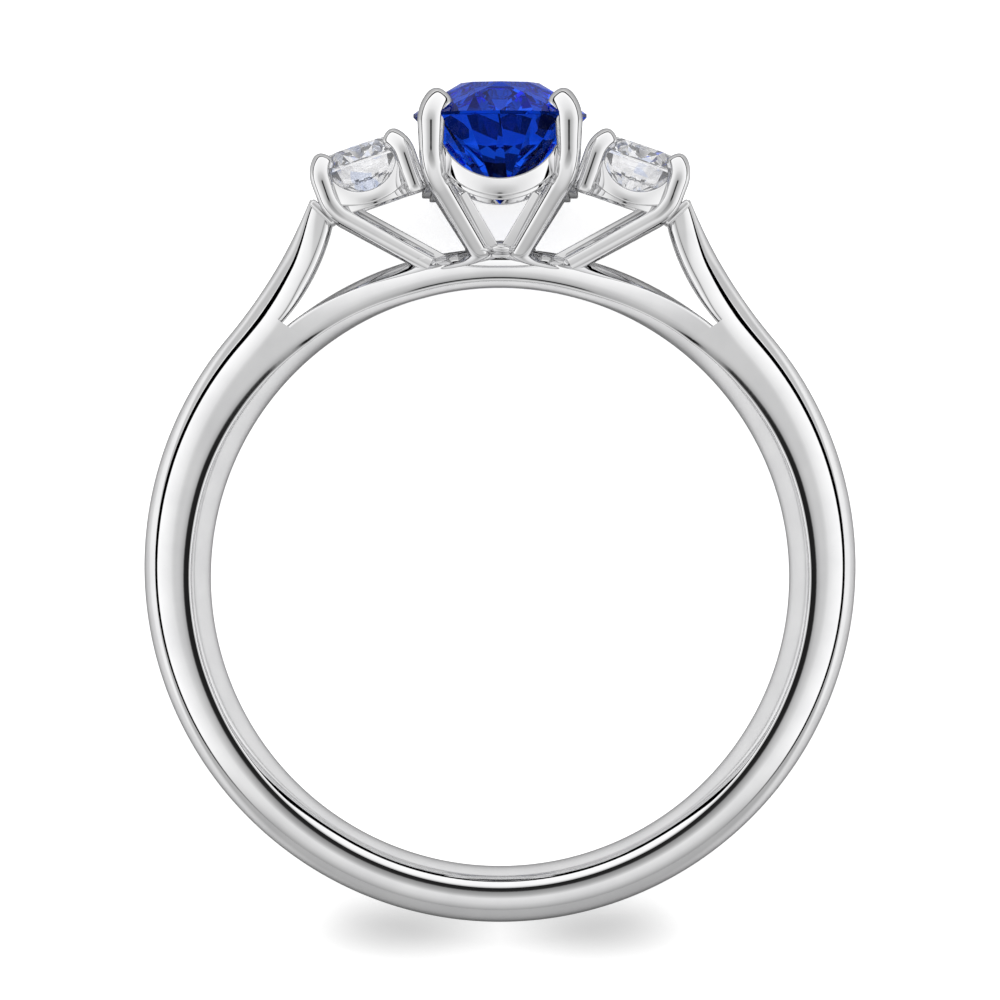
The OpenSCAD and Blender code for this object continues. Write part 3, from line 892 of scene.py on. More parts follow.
def build_centre_claws(n, finish):
    """The sapphire's four claws, down to the bridge."""
    h = n.h
    foot_h = bridge_y(n, h.foot_x) - n.sapphire_y
    made = []
    for sx, sz, place in CORNERS:
        sy = -sz
        points, radii = claw_path(
            np.array([sx * n.claw_at[0], sy * n.claw_at[1]]),
            h.claw_h,
            (sx * h.foot_x, sy * h.foot_z, foot_h),
            -h.knee_depth,
            h.knee_r,
            h.claw_r,
            h.foot_r,
            h.claw_bend,
        )
        shape = tube(at_sapphire(n, points), radii)
        obj = piece(n, f"centre_claw_{place}", shape, finish, CLAW_CREASE)
        cut_seat(obj, "centre_sapphire", n.s.seat, CLAW_CREASE)
        made.append(settle(obj))
    return made


def build_side_claws(n, finish):
    """Each diamond's two outer claws, down to the bridge, and its two short inner ones."""
    h = n.h
    foot = side_local(n, np.array([h.side_foot_x, bridge_y(n, h.side_foot_x)]))
    made = []
    for side, word in ((1, "right"), (-1, "left")):
        for sz, depth in ((1, "front"), (-1, "back")):
            sy = -sz
            long = claw_path(
                np.array([side * n.side_at[0], sy * n.side_at[1]]),
                h.side_h,
                (side * foot[0], sy * h.side_foot_z, foot[1]),
                -h.side_knee_depth,
                h.side_knee_r,
                h.side_r,
                h.side_foot_r,
                h.claw_bend,
            )
            short = short_path(
                np.array([-side * n.side_at[0], sy * n.side_at[1]]),
                h.side_h,
                -n.side_low,
                h.side_r,
                h.claw_bend,
            )
            for kind, (points, radii) in (("outer", long), ("inner", short)):
                shape = tube(at_diamond(n, points, side), radii)
                obj = piece(n, f"{word}_{kind}_claw_{depth}", shape, finish, CLAW_CREASE)
                cut_seat(obj, f"{word}_diamond", n.s.seat, CLAW_CREASE)
                made.append(settle(obj))
    return made


# Baskets


def oval_outline(a, b, end_r, count):
    """Points and outward directions of an oval of four arcs."""
    side_r = (a * a + b * b - 2 * b * end_r) / (2 * (a - end_r))
    join_y = (b - end_r) * side_r / (side_r - end_r)
    join = math.asin(join_y / side_r)
    there = []
    for t in np.linspace(0, join, count // 8, endpoint=False):
        there.append(((a - side_r) + side_r * math.cos(t), side_r * math.sin(t), t))
    for t in np.linspace(join, math.pi / 2, count // 8, endpoint=False):
        there.append((end_r * math.cos(t), (b - end_r) + end_r * math.sin(t), t))
    back = [(0, b, math.pi / 2)] + there[:0:-1]
    points, outs = [], []
    for quarter, sx, sy in ((there, 1, 1), (back, -1, 1), (there, -1, -1), (back, 1, -1)):
        points += [[sx * x, sy * y] for x, y, _ in quarter]
        outs += [[sx * math.cos(t), sy * math.sin(t)] for _, _, t in quarter]
    return np.array(points), np.array(outs)


def round_outline(radius, count):
    """Points and outward directions of a circle."""
    t = np.linspace(0, 2 * math.pi, count, endpoint=False)
    outs = np.stack([np.cos(t), np.sin(t)], 1)
    return radius * outs, outs


def swag_heights(point, claw, low, height, rise, upper_r, lower_r, longer):
    """Lower and upper edge of a wall at a point of its plan, below the girdle."""
    x, y = abs(point[0]), abs(point[1])
    if y * claw[0] > x * claw[1]:
        across, up_r, low_r = x, upper_r, lower_r
    else:
        across, up_r, low_r = y, upper_r + longer, lower_r + longer
    bottom = low_r - low - math.sqrt(max(low_r**2 - across**2, 0.0))
    top = up_r + height - low - math.sqrt(max(up_r**2 - across**2, 0.0))
    cap = height + rise - low
    return bottom, min(top, cap)


# Angle of the walls' outsides at their top, and for each kind of wall the rounding of its edges,
# that of its upper outside edge, and how far its outside comes in towards the top
WALL_LEAN = math.radians(17)
CENTRE_WALL = (0.06 * MM, 0.1 * MM, 0.078 * MM)
CENTRE_RIM = (0.04 * MM, 0.04 * MM, 0.06 * MM)
SIDE_WALL = (0.05 * MM, 0.08 * MM, 0.057 * MM)
SIDE_RIM = (0.04 * MM, 0.04 * MM, 0.02 * MM)

# Points on a rounded edge and on the leaning outside, and the heights of those on the inside
EDGE_POINTS = 7
LEAN_POINTS = 14
INSIDE_SHARES = (0.25, 0.5, 0.75)


def wall_loop(thick, rounding, top_r, lean):
    """Section of a wall as (inset, share of the height, offset from that edge). Where there is
    no offset, the share runs along the wall's outside."""
    r = rounding
    quarter = np.linspace(0, math.pi / 2, EDGE_POINTS)
    loop = [(r - r * math.cos(a), 0, r - r * math.sin(a)) for a in quarter]
    loop += [(thick - r + r * math.sin(a), 0, r - r * math.cos(a)) for a in quarter]
    loop += [(thick, f, 0) for f in INSIDE_SHARES]
    loop += [(thick - r + r * math.cos(a), 1, -r + r * math.sin(a)) for a in quarter]
    start = lean - top_r * (1 - math.cos(WALL_LEAN))
    for a in np.linspace(math.pi / 2, WALL_LEAN, EDGE_POINTS):
        loop.append((start + top_r * (1 - math.cos(a)), 1, -top_r + top_r * math.sin(a)))
    for a in np.linspace(WALL_LEAN, 0, LEAN_POINTS)[1:-1]:
        inset = lean * (1 - math.cos(a)) / (1 - math.cos(WALL_LEAN))
        loop.append((inset, math.sin(a) / math.sin(WALL_LEAN), None))
    return loop


def wall_rings(outline, outs, thick, edges, heights):
    """Rings of a basket's wall in its stone's frame."""
    rounding, top_r, lean = edges
    loop = wall_loop(thick, rounding, top_r, lean)
    rings = []
    for p, out in zip(outline, outs):
        ring = []
        for inset, part, offset in loop:
            q = p - out * inset
            bottom, top = heights(q)
            if offset is None:
                high = top - top_r * (1 - math.sin(WALL_LEAN))
                h = bottom + rounding + (high - bottom - rounding) * part
            elif part == 0:
                h = bottom + offset
            elif part == 1:
                h = top + offset
            else:
                h = bottom + rounding + (top - bottom - 2 * rounding) * part
            ring.append([q[0], q[1], h])
        rings.append(np.array(ring))
    return rings


# Radius of the oval's ends as a share of its half width
END_ROUND = 0.85
OVAL_POINTS = 320
ROUND_POINTS = 240

# By how much a rim's inner face stops short of the wall's
RIM_INSET = 0.01 * MM


def build_centre_basket(n, finish):
    """The oval basket's wall, and the fine rim that shows below it."""
    h = n.h
    longer = n.claw_at[1] - n.claw_at[0]
    end_r = n.basket_a * END_ROUND
    inner = h.basket_t / 2
    made = []
    for name, low, inset, thick, edges in (
        ("centre_basket", h.basket_depth, 0, h.basket_t, CENTRE_WALL),
        ("centre_basket_rim", h.basket_depth + h.rim_t, inner, inner - RIM_INSET, CENTRE_RIM),
    ):
        outline, outs = oval_outline(
            n.basket_a - inset, n.basket_b - inset, end_r - inset, OVAL_POINTS
        )

        def heights(q):
            return swag_heights(
                q, n.claw_at, low, h.scallop_t, h.wall_rise, h.scallop_r, h.swag_r, longer
            )

        rings = wall_rings(outline, outs, thick, edges, heights)
        placed = [at_sapphire(n, ring) for ring in rings]
        obj = piece(n, name, loft(placed, closed=True), finish)
        cut_seat(obj, "centre_sapphire", n.s.seat, CREASE)
        made.append(settle(obj))
    return made


def build_side_baskets(n, finish):
    """The walls of the round baskets, and the flat rims below them."""
    h = n.h
    inner = h.side_basket_t / 2

    def swags(q):
        return swag_heights(
            q,
            n.side_at,
            h.side_depth,
            h.side_scallop_t,
            h.side_rise,
            h.side_scallop_r,
            h.side_swag_r,
            0,
        )

    def flat(q):
        return -n.side_low, -n.side_low + h.side_scallop_t

    outline, outs = round_outline(n.side_basket_r, ROUND_POINTS)
    wall = wall_rings(outline, outs, h.side_basket_t, SIDE_WALL, swags)
    outline, outs = round_outline(n.side_basket_r - inner, ROUND_POINTS)
    rim = wall_rings(outline, outs, inner - RIM_INSET, SIDE_RIM, flat)
    made = []
    for side, word in ((1, "right"), (-1, "left")):
        placed = [at_diamond(n, ring, side) for ring in wall]
        obj = piece(n, f"{word}_basket", loft(placed, closed=True), finish)
        cut_seat(obj, f"{word}_diamond", n.s.seat, CREASE)
        made.append(settle(obj))
        placed = [at_diamond(n, ring, side) for ring in rim]
        made.append(settle(piece(n, f"{word}_basket_rim", loft(placed, closed=True), finish)))
    return made


# Webs, lugs and solder


BLOCK_FACES = (
    (0, 1, 2, 3),
    (7, 6, 5, 4),
    (0, 4, 5, 1),
    (1, 5, 6, 2),
    (2, 6, 7, 3),
    (3, 7, 4, 0),
)


def taken(bm):
    """Vertices and faces of a mesh that is being built, which is then let go."""
    bm.verts.index_update()
    verts = [np.array(v.co) for v in bm.verts]
    faces = [tuple(v.index for v in f.verts) for f in bm.faces]
    bm.free()
    return verts, faces


def block(outline, halves, bevel, steps):
    """A block with rounded edges over a four-sided outline in the plane of the ring, and its
    half length along the finger at each corner."""
    bm = bmesh.new()
    corners = [(p[0], p[1], -half) for p, half in zip(outline, halves)]
    corners += [(p[0], p[1], half) for p, half in zip(outline, halves)]
    verts = [bm.verts.new(c) for c in corners]
    for face in BLOCK_FACES:
        bm.faces.new([verts[i] for i in face])
    bmesh.ops.recalc_face_normals(bm, faces=bm.faces)
    bmesh.ops.bevel(
        bm, geom=list(bm.edges), offset=bevel, segments=steps, profile=0.5, affect="EDGES"
    )
    return taken(bm)


# How far a web's outer edge runs on into the bridge, and its rounded edges
WEB_ROOT = 0.35 * MM
WEB_BEVEL = 0.05 * MM
WEB_STEPS = 3

# Share of a side claw's lower leg that its web fills
SIDE_WEB_PART = 0.8


def web_block(foot, knee, part, low_r, show, foot_z, knee_z):
    """A flat web between a front and a back leg on the right, over a part of their length from
    the foot."""
    top = foot + part * (knee - foot)
    top_z = foot_z + part * (knee_z - foot_z)
    u = unit(top - foot)
    across = np.array([-u[1], u[0]])
    low = foot - WELD * u
    wide = low_r + show
    outline = [low, top, top + across * wide, low + across * wide - u * WEB_ROOT]
    halves = [foot_z + (p[1] - low[1]) / (top[1] - low[1]) * (top_z - foot_z) for p in outline]
    return block(outline, halves, WEB_BEVEL, WEB_STEPS)


def mirror_x(shape):
    """The same shape on the left."""
    verts, faces = shape
    return [v * np.array([-1, 1, 1]) for v in verts], [f[::-1] for f in faces]


def build_webs(n, finish):
    """A web between each front leg and the back leg behind it."""
    h = n.h
    knee = np.array([n.claw_at[0], n.sapphire_y - h.knee_depth])
    foot = np.array([h.foot_x, bridge_y(n, h.foot_x)])
    part = (n.sapphire_y - h.basket_depth - h.rim_t - foot[1]) / (knee[1] - foot[1])
    centre = web_block(foot, knee, part, h.foot_r, h.web_show, h.foot_z, n.claw_at[1])
    knee = side_point(n, n.side_at[0], -h.side_knee_depth)
    foot = np.array([h.side_foot_x, bridge_y(n, h.side_foot_x)])
    outer = web_block(
        foot, knee, SIDE_WEB_PART, h.side_foot_r, h.side_web_show, h.side_foot_z, n.side_at[1]
    )
    made = []
    for name, shape in (("centre", centre), ("side", outer)):
        made.append(settle(piece(n, f"{name}_web_right", shape, finish)))
        made.append(settle(piece(n, f"{name}_web_left", mirror_x(shape), finish)))
    return made


# How lumpy a bead of solder is, and how closely its lumps lie
BEAD_ROUGH = 0.12
BEAD_WAVES = 1.6
BEAD_STEPS = 3

# Half sizes of the beads at the feet of the centre and side claws and between the centre
# claws' feet, and the place of that last one
FOOT_BEAD = (0.4 * MM, 0.13 * MM, 0.4 * MM)
SIDE_BEAD = (0.5 * MM, 0.16 * MM, 0.38 * MM)
MIDDLE_BEAD = (0.55 * MM, 0.22 * MM, 0.8 * MM)
MIDDLE_X = 0.05 * MM
FIRST_SEED = 3


def bead(middle, radii, seed):
    """A small drop of solder: a lumpy round form."""
    draw = np.random.default_rng(seed)
    bm = bmesh.new()
    bmesh.ops.create_icosphere(bm, subdivisions=BEAD_STEPS, radius=1.0)
    waves = draw.normal(size=(4, 3)) * BEAD_WAVES
    phases = draw.uniform(0, 2 * math.pi, 4)
    for v in bm.verts:
        d = np.array(v.co)
        swell = 1 + BEAD_ROUGH * float(np.sin(waves @ d + phases).mean())
        v.co = Vector((np.array(middle) + d * np.array(radii) * swell).tolist())
    return taken(bm)


def joined(shapes):
    """Several shapes as one."""
    verts, faces = [], []
    for v, f in shapes:
        base = len(verts)
        verts += list(v)
        faces += [tuple(i + base for i in face) for face in f]
    return verts, faces


# Direction, middle and half sizes of the right bar of solder between arm and claw
BAR_TURN = math.radians(223.7)
BAR_MIDDLE = np.array([5.2, 10.69]) * MM
BAR_LONG = 0.48 * MM
BAR_THIN = 0.12 * MM
BAR_PROUD = 0.03 * MM
BAR_BEVEL = 0.1 * MM
BAR_STEPS = 5


def tip_bar(n):
    """A bar of solder between the right arm's tip and its claw."""
    m = polar(BAR_TURN)
    long, thin = BAR_LONG * m, BAR_THIN * np.array([-m[1], m[0]])
    outline = [
        BAR_MIDDLE - long - thin,
        BAR_MIDDLE + long - thin,
        BAR_MIDDLE + long + thin,
        BAR_MIDDLE - long + thin,
    ]
    half = n.edge_r + SWELL + BAR_PROUD
    return block(outline, [half] * 4, BAR_BEVEL, BAR_STEPS)


# How far above the side baskets' lower edge the lugs start, and their rounded edges
LUG_RAISED = 0.1 * MM
LUG_BEVEL = 0.09 * MM
LUG_STEPS = 4


def build_solder(n, finish):
    """The lugs between the baskets, and the beads and bars of solder, which are one piece."""
    h = n.h
    p = side_point(n, -n.side_at[0] - h.side_r, -n.side_low)
    x0, y0 = p[0] - h.lug_t / 2, p[1] + LUG_RAISED
    x1, y1 = x0 + h.lug_t, y0 + h.lug_h
    outline = [(x0, y0), (x1, y0), (x1, y1), (x0, y1)]
    lug = block(outline, [n.side_at[1]] * 4, LUG_BEVEL, LUG_STEPS)
    made = []
    for word, shape in (("right", lug), ("left", mirror_x(lug))):
        made.append(settle(piece(n, f"{word}_lug", shape, finish)))
    drops = []
    seed = FIRST_SEED
    for sx in (1, -1):
        for sz in (1, -1):
            for x, z, radii in (
                (sx * h.foot_x, sz * h.foot_z, FOOT_BEAD),
                (sx * h.side_foot_x, sz * h.side_foot_z, SIDE_BEAD),
            ):
                drops.append(bead((x, bridge_y(n, x), z), radii, seed))
                seed += 1
    drops.append(bead((MIDDLE_X, bridge_y(n, 0), 0), MIDDLE_BEAD, seed))
    bar = tip_bar(n)
    drops += [bar, mirror_x(bar)]
    made.append(settle(piece(n, "foot_solder", joined(drops), finish)))
    return made


# Finishes


COLOUR = "NodeSocketColor"
NUMBER = "NodeSocketFloat"


def node_group(name, given, puts):
    """A new group with its named inputs and outputs, and its two ends inside it."""
    group = bpy.data.node_groups.new(name, "ShaderNodeTree")
    for label, kind, value in given:
        socket = group.interface.new_socket(name=label, in_out="INPUT", socket_type=kind)
        socket.default_value = value
    for label, kind in puts:
        group.interface.new_socket(name=label, in_out="OUTPUT", socket_type=kind)
    first = group.nodes.new("NodeGroupInput")
    last = group.nodes.new("NodeGroupOutput")
    return group, first.outputs, last.inputs


def added(tree, kind, given=None, **settings):
    """A new node with its settings. Each input that is named or numbered gets a value or
    another node's output."""
    node = tree.nodes.new(kind)
    for name, value in settings.items():
        setattr(node, name, value)
    for place, value in (given or {}).items():
        if isinstance(value, bpy.types.NodeSocket):
            tree.links.new(value, node.inputs[place])
        else:
            node.inputs[place].default_value = value
    return node


def number(tree, operation, *given):
    """Output of a math node."""
    node = added(tree, "ShaderNodeMath", dict(enumerate(given)), operation=operation)
    return node.outputs[0]


def vector(tree, operation, output, *given):
    """An output of a vector math node."""
    node = added(tree, "ShaderNodeVectorMath", dict(enumerate(given)), operation=operation)
    return node.outputs[output]


def ranged(tree, value, start, end, most=1.0, least=0.0, kind="SMOOTHSTEP"):
    """The value turned into a share: least up to start, most from end on."""
    given = {"Value": value, "From Min": start, "From Max": end, "To Min": least, "To Max": most}
    return added(tree, "ShaderNodeMapRange", given, interpolation_type=kind).outputs["Result"]


# A mix node's colour sockets go by number, since its other sockets have the same names
MIX_FIRST = 6
MIX_SECOND = 7
MIX_RESULT = 2


def mixed(tree, part, first, second):
    """A colour between two: the part is how much of the second is in it."""
    given = {"Factor": part, MIX_FIRST: first, MIX_SECOND: second}
    return added(tree, "ShaderNodeMix", given, data_type="RGBA").outputs[MIX_RESULT]


def noise(tree, place, scale, detail):
    """Strength of a noise at a place."""
    given = {"Vector": place, "Scale": scale, "Detail": detail}
    return added(tree, "ShaderNodeTexNoise", given).outputs["Fac"]


# Part of the clouds over which the tone turns from bright to worn
CLOUD_FROM = 0.35
CLOUD_TO = 0.75


def polish_group():
    """Fine marks of polishing: tone, roughness and height that vary over the surface."""
    group, given, put = node_group(
        "polish_marks",
        (
            ("Bright", COLOUR, (0.93, 0.93, 0.935, 1)),
            ("Worn", COLOUR, (0.86, 0.86, 0.87, 1)),
            ("Roughness", NUMBER, 0.035),
            ("Variation", NUMBER, 0.012),
            ("Cloud scale", NUMBER, 900.0),
            ("Mark scale", NUMBER, 9000.0),
        ),
        (("Color", COLOUR), ("Roughness", NUMBER), ("Height", NUMBER)),
    )
    place = added(group, "ShaderNodeTexCoord").outputs["Object"]
    clouds = noise(group, place, given["Cloud scale"], 4.0)
    marks = noise(group, place, given["Mark scale"], 3.0)
    thinner = ranged(group, clouds, CLOUD_FROM, CLOUD_TO, kind="LINEAR")
    tone = mixed(group, thinner, given["Bright"], given["Worn"])
    rough = number(group, "MULTIPLY_ADD", marks, given["Variation"], given["Roughness"])
    group.links.new(tone, put["Color"])
    group.links.new(rough, put["Roughness"])
    group.links.new(marks, put["Height"])
    return group


# Facets are told apart by the direction they face, in steps that are shifted so that no facet
# lies between two of them
FACET_SHIFT = (0.0137, 0.0171, 0.0193)
FACET_STEP = (0.06, 0.06, 0.06)

# How much a facet's painted light counts beside the growth zones', and how far up the crown's
# facets face at least to get a painted highlight
FACET_PART = 0.5
CROWN_FACES = 0.1


def zones_and_facet_light_group():
    """Colour of a cut stone: growth zones, and painted light that varies from facet to facet."""
    group, given, put = node_group(
        "zones_and_painted_facet_light",
        (
            ("Body", COLOUR, (0.01, 0.05, 0.2, 1)),
            ("Bright", COLOUR, (0.05, 0.2, 0.9, 1)),
            ("Scale", NUMBER, 300.0),
            ("Low", NUMBER, 0.2),
            ("High", NUMBER, 0.8),
            ("Crown", NUMBER, 0.0),
        ),
        (("Color", COLOUR),),
    )
    place = added(group, "ShaderNodeTexCoord").outputs
    cells = {"Vector": place["Object"], "Scale": given["Scale"]}
    zones = added(group, "ShaderNodeTexVoronoi", cells).outputs["Color"]
    # Painted light: the facets get brightnesses of their own, by the direction they face
    shift = vector(group, "ADD", "Vector", place["Normal"], FACET_SHIFT)
    snap = vector(group, "SNAP", "Vector", shift, FACET_STEP)
    facet = added(group, "ShaderNodeTexWhiteNoise", {"Vector": snap}, noise_dimensions="3D")
    both = number(group, "MULTIPLY_ADD", facet.outputs["Value"], FACET_PART, zones)
    # Painted highlight: facets that face up are made brighter by the Crown amount
    faces = added(group, "ShaderNodeSeparateXYZ", {"Vector": place["Normal"]}).outputs
    crown = number(group, "GREATER_THAN", faces["Y"], CROWN_FACES)
    total = number(group, "MULTIPLY_ADD", crown, given["Crown"], both)
    part = ranged(group, total, given["Low"], given["High"], kind="LINEAR")
    group.links.new(mixed(group, part, given["Body"], given["Bright"]), put["Color"])
    return group


# Where the board's painted shade starts, where it is full, and how strong it is there: in front
# of the palm, behind the stones, and near the ring
PALM_SHADE = (-6.0 * MM, -12.0 * MM, 1.0)
STONE_SHADE = (11.0 * MM, 17.0 * MM, 0.8)
NEAR_SHADE = (18.0 * MM, 14.5 * MM, 0.3)

# The ring's painted shadow: two soft spots beside the palm, drawn stretched towards the palm by
# the first number: their middle, the distances of their edge and core from it, and their strength
SHADOW_FLAT = 3.0
SHADOW_MIDDLE = (3.2 * MM, -30.8 * MM, 0)
SHADOW_EDGE = 3.9 * MM
SHADOW_CORE = 0.2 * MM
SHADOW_STRENGTH = 0.55


def painted_shade_group():
    """Painted soft shade of the board round the ring, and how its own light fades beside the palm,
    in a painted soft shadow of the ring."""
    group, given, put = node_group(
        "painted_board_shade",
        (("Color", COLOUR, (0.9, 0.9, 0.9, 1)), ("Shade", COLOUR, (0.42, 0.42, 0.42, 1))),
        (("Color", COLOUR), ("Light", COLOUR)),
    )
    place = added(group, "ShaderNodeTexCoord").outputs["Object"]
    parts = added(group, "ShaderNodeSeparateXYZ", {"Vector": place}).outputs
    # Painted shade on the board's colour, in front of the palm, behind the stones and near the
    # ring
    palm = ranged(group, parts["Y"], *PALM_SHADE)
    stones = ranged(group, parts["Y"], *STONE_SHADE)
    near = ranged(group, vector(group, "LENGTH", "Value", place), *NEAR_SHADE)
    painted_shade_part = number(group, "MAXIMUM", number(group, "MAXIMUM", palm, stones), near)
    group.links.new(mixed(group, painted_shade_part, given["Color"], given["Shade"]), put["Color"])
    # Painted shadow: the board's own light is dimmed in two soft spots beside the palm
    side = number(group, "ABSOLUTE", parts["X"])
    down = number(group, "MULTIPLY", parts["Y"], SHADOW_FLAT)
    shadow_spot = added(group, "ShaderNodeCombineXYZ", {"X": side, "Y": down}).outputs["Vector"]
    apart = vector(group, "DISTANCE", "Value", shadow_spot, SHADOW_MIDDLE)
    painted_shadow = ranged(group, apart, SHADOW_EDGE, SHADOW_CORE, SHADOW_STRENGTH)
    group.links.new(number(group, "SUBTRACT", 1.0, painted_shadow), put["Light"])
    return group


def placed_group(tree, name, make, given):
    """Outputs of a group that is placed in a material, built where it isn't there yet."""
    group = bpy.data.node_groups.get(name) or make()
    return added(tree, "ShaderNodeGroup", given, node_tree=group).outputs


def fresh_material(name):
    """A new material, with its shader and its output node."""
    material = bpy.data.materials.new(name)
    material.use_nodes = True
    nodes = material.node_tree.nodes
    nodes.clear()
    out = nodes.new("ShaderNodeOutputMaterial")
    shader = nodes.new("ShaderNodeBsdfPrincipled")
    material.node_tree.links.new(shader.outputs["BSDF"], out.inputs["Surface"])
    return material, shader, out


# Strength and depth of the polishing marks, and how much the metal's edges reflect
MARK_STRENGTH = 0.012
MARK_DEPTH = 0.02 * MM
EDGE_TINT = (0.45, 0.45, 0.45, 1)


def metal_finish(scene):
    """Polished white gold, which all pieces of metal share."""
    found = bpy.data.materials.get("polished_white_gold")
    if found:
        return found
    c = scene.ring_finish
    material, shader, _ = fresh_material("polished_white_gold")
    tree = material.node_tree
    given = {"Bright": (*c.metal, 1), "Worn": (*c.worn, 1), "Roughness": c.polish}
    marks = placed_group(tree, "polish_marks", polish_group, given)
    given = {"Strength": MARK_STRENGTH, "Distance": MARK_DEPTH, "Height": marks["Height"]}
    bump = added(tree, "ShaderNodeBump", given)
    shader.inputs["Metallic"].default_value = 1.0
    shader.inputs["Specular Tint"].default_value = EDGE_TINT
    tree.links.new(marks["Color"], shader.inputs["Base Color"])
    tree.links.new(marks["Roughness"], shader.inputs["Roughness"])
    tree.links.new(bump.outputs["Normal"], shader.inputs["Normal"])
    return material


# How each kind of stone looks: its refraction, the scale of its growth zones, the span over
# which the colour turns from body to bright, how much brighter its crown is painted, the tint of
# its reflections, and how much of its colour it gives off as a painted glow
SAPPHIRE = SimpleNamespace(
    ior=1.77, scale=1000.0, span=(0.62, 0.74), crown=0.35, sheen=(0.03, 0.08, 0.8), painted_glow=0.04
)
DIAMOND = SimpleNamespace(
    ior=2.42, scale=1600.0, span=(0.45, 0.5), crown=0.0, sheen=(1.0, 1.0, 1.0), painted_glow=0.03
)


def stone_finish(name, body, bright, look):
    """Clear cut stone with a little painted glow: its shader, its output node and its zones'
    outputs.
    """
    material, shader, out = fresh_material(name)
    tree = material.node_tree
    given = {
        "Body": (*body, 1),
        "Bright": (*bright, 1),
        "Low": look.span[0],
        "High": look.span[1],
        "Scale": look.scale,
        "Crown": look.crown,
    }
    zones = placed_group(tree, "zones_and_painted_facet_light", zones_and_facet_light_group, given)
    shader.inputs["Roughness"].default_value = 0.0
    shader.inputs["IOR"].default_value = look.ior
    shader.inputs["Specular Tint"].default_value = (*look.sheen, 1)
    shader.inputs["Transmission Weight"].default_value = 1.0
    # Painted glow: the stone gives off a little of its own colour as light
    shader.inputs["Emission Strength"].default_value = look.painted_glow
    tree.links.new(zones["Color"], shader.inputs["Base Color"])
    tree.links.new(zones["Color"], shader.inputs["Emission Color"])
    return material, shader, out, zones


# Share of the white sheen that is taken off the crown and off the lower facets, and how far up
# or down a facet faces to be one or the other
CROWN_SHARE = 0.45
LOWER_SHARE = 0.9
CROWN_FACING = 0.2


def deepen(material, shader, out, zones, look):
    """Takes most of the white sheen off the lower facets, which face the metal, and lets the
    metal beside the stone reflect the white tent rather than the stone's colour."""
    tree = material.node_tree
    ray = added(tree, "ShaderNodeLightPath").outputs
    facing = added(tree, "ShaderNodeTexCoord").outputs["Normal"]
    up = added(tree, "ShaderNodeSeparateXYZ", {"Vector": facing}).outputs["Y"]
    lower = ranged(tree, up, CROWN_FACING, -CROWN_FACING, LOWER_SHARE, CROWN_SHARE, "LINEAR")
    seen = number(tree, "MULTIPLY", lower, ray["Is Camera Ray"])
    tint = added(tree, "ShaderNodeGamma", {"Color": zones["Color"], "Gamma": 0.5})
    inward = added(tree, "ShaderNodeBsdfRefraction", {"Color": tint.outputs["Color"]})
    inward.inputs["Roughness"].default_value = 0.0
    inward.inputs["IOR"].default_value = look.ior
    given = {"Fac": seen, 1: shader.outputs["BSDF"], 2: inward.outputs["BSDF"]}
    deep = added(tree, "ShaderNodeMixShader", given)
    outside = number(tree, "LESS_THAN", ray["Transmission Depth"], 0.5)
    in_metal = number(tree, "MULTIPLY", ray["Is Glossy Ray"], outside)
    clear = added(tree, "ShaderNodeBsdfTransparent")
    given = {"Fac": in_metal, 1: deep.outputs["Shader"], 2: clear.outputs["BSDF"]}
    last = added(tree, "ShaderNodeMixShader", given)
    tree.links.new(last.outputs["Shader"], out.inputs["Surface"])


# Share of the board's own light that is seen through a stone, and tone of its darker patches
THROUGH_STONES = 0.4
WORN_FLOOR = 0.985


def floor_finish(scene):
    """Pale matt board. It gives off a little light of its own where it is seen straight on,
    and less where it is seen through a stone."""
    c = scene.ring_finish
    material, shader, _ = fresh_material("pale_board")
    tree = material.node_tree
    given = {
        "Bright": (*c.floor, 1),
        "Worn": (*[WORN_FLOOR * v for v in c.floor], 1),
        "Roughness": 0.85,
        "Cloud scale": 30.0,
        "Mark scale": 800.0,
    }
    marks = placed_group(tree, "polish_marks", polish_group, given)
    # Painted shade on the board's colour, and a painted shadow in its own light beside the palm
    shade = placed_group(tree, "painted_board_shade", painted_shade_group, {"Color": marks["Color"]})
    ray = added(tree, "ShaderNodeLightPath").outputs
    through = number(tree, "MULTIPLY", ray["Is Transmission Ray"], THROUGH_STONES)
    seen = number(tree, "MAXIMUM", ray["Is Camera Ray"], through)
    glow = number(tree, "MULTIPLY", seen, c.glow)
    shader.inputs["Specular IOR Level"].default_value = 0.1
    tree.links.new(shade["Color"], shader.inputs["Base Color"])
    tree.links.new(marks["Roughness"], shader.inputs["Roughness"])
    tree.links.new(shade["Light"], shader.inputs["Emission Color"])
    tree.links.new(glow, shader.inputs["Emission Strength"])
    return material


# Studio


# Brightness of the tent by the angle from the camera's side, as degrees and brightness: at the
# sides and above the stones, and towards the palm
TENT = (
    (0, 0.01),
    (3.2, 0.02),
    (6, 0.42),
    (10, 0.50),
    (15, 0.58),
    (21, 0.63),
    (28, 0.73),
    (34, 0.83),
    (47, 0.93),
    (60, 1.0),
    (79, 1.1),
    (80.3, 1.1),
    (81.3, 0.0),
    (91.3, 0.0),
    (92.0, 1.0),
    (180, 0.8),
)
PALM_SIDE = (
    (0, 0.01),
    (2.6, 0.02),
    (5, 0.28),
    (19, 0.45),
    (26, 0.62),
    (33, 0.82),
    (40, 0.8),
    (56, 0.7),
    (72, 0.53),
    (81, 0.4),
    (180, 0.35),
)

# Strength of the sky, which the tables' brightness is a share of
SKY_STRENGTH = 2.0

# Upward part of a sideways direction where the palm's table begins to count, and where it
# counts in full
PALM_FROM = -0.45
PALM_FULL = -0.8


def tent_light(tree, table, part):
    """Colour of the tent from a table, at a part of the half turn from the camera's side."""
    node = added(tree, "ShaderNodeValToRGB", {"Fac": part})
    stops = node.color_ramp.elements
    while len(stops) < len(table):
        stops.new(0.5)
    for stop, (degrees, light) in zip(stops, table):
        level = light / SKY_STRENGTH
        stop.position = degrees / 180
        stop.color = (level, level, level, 1)
    return node.outputs["Color"]


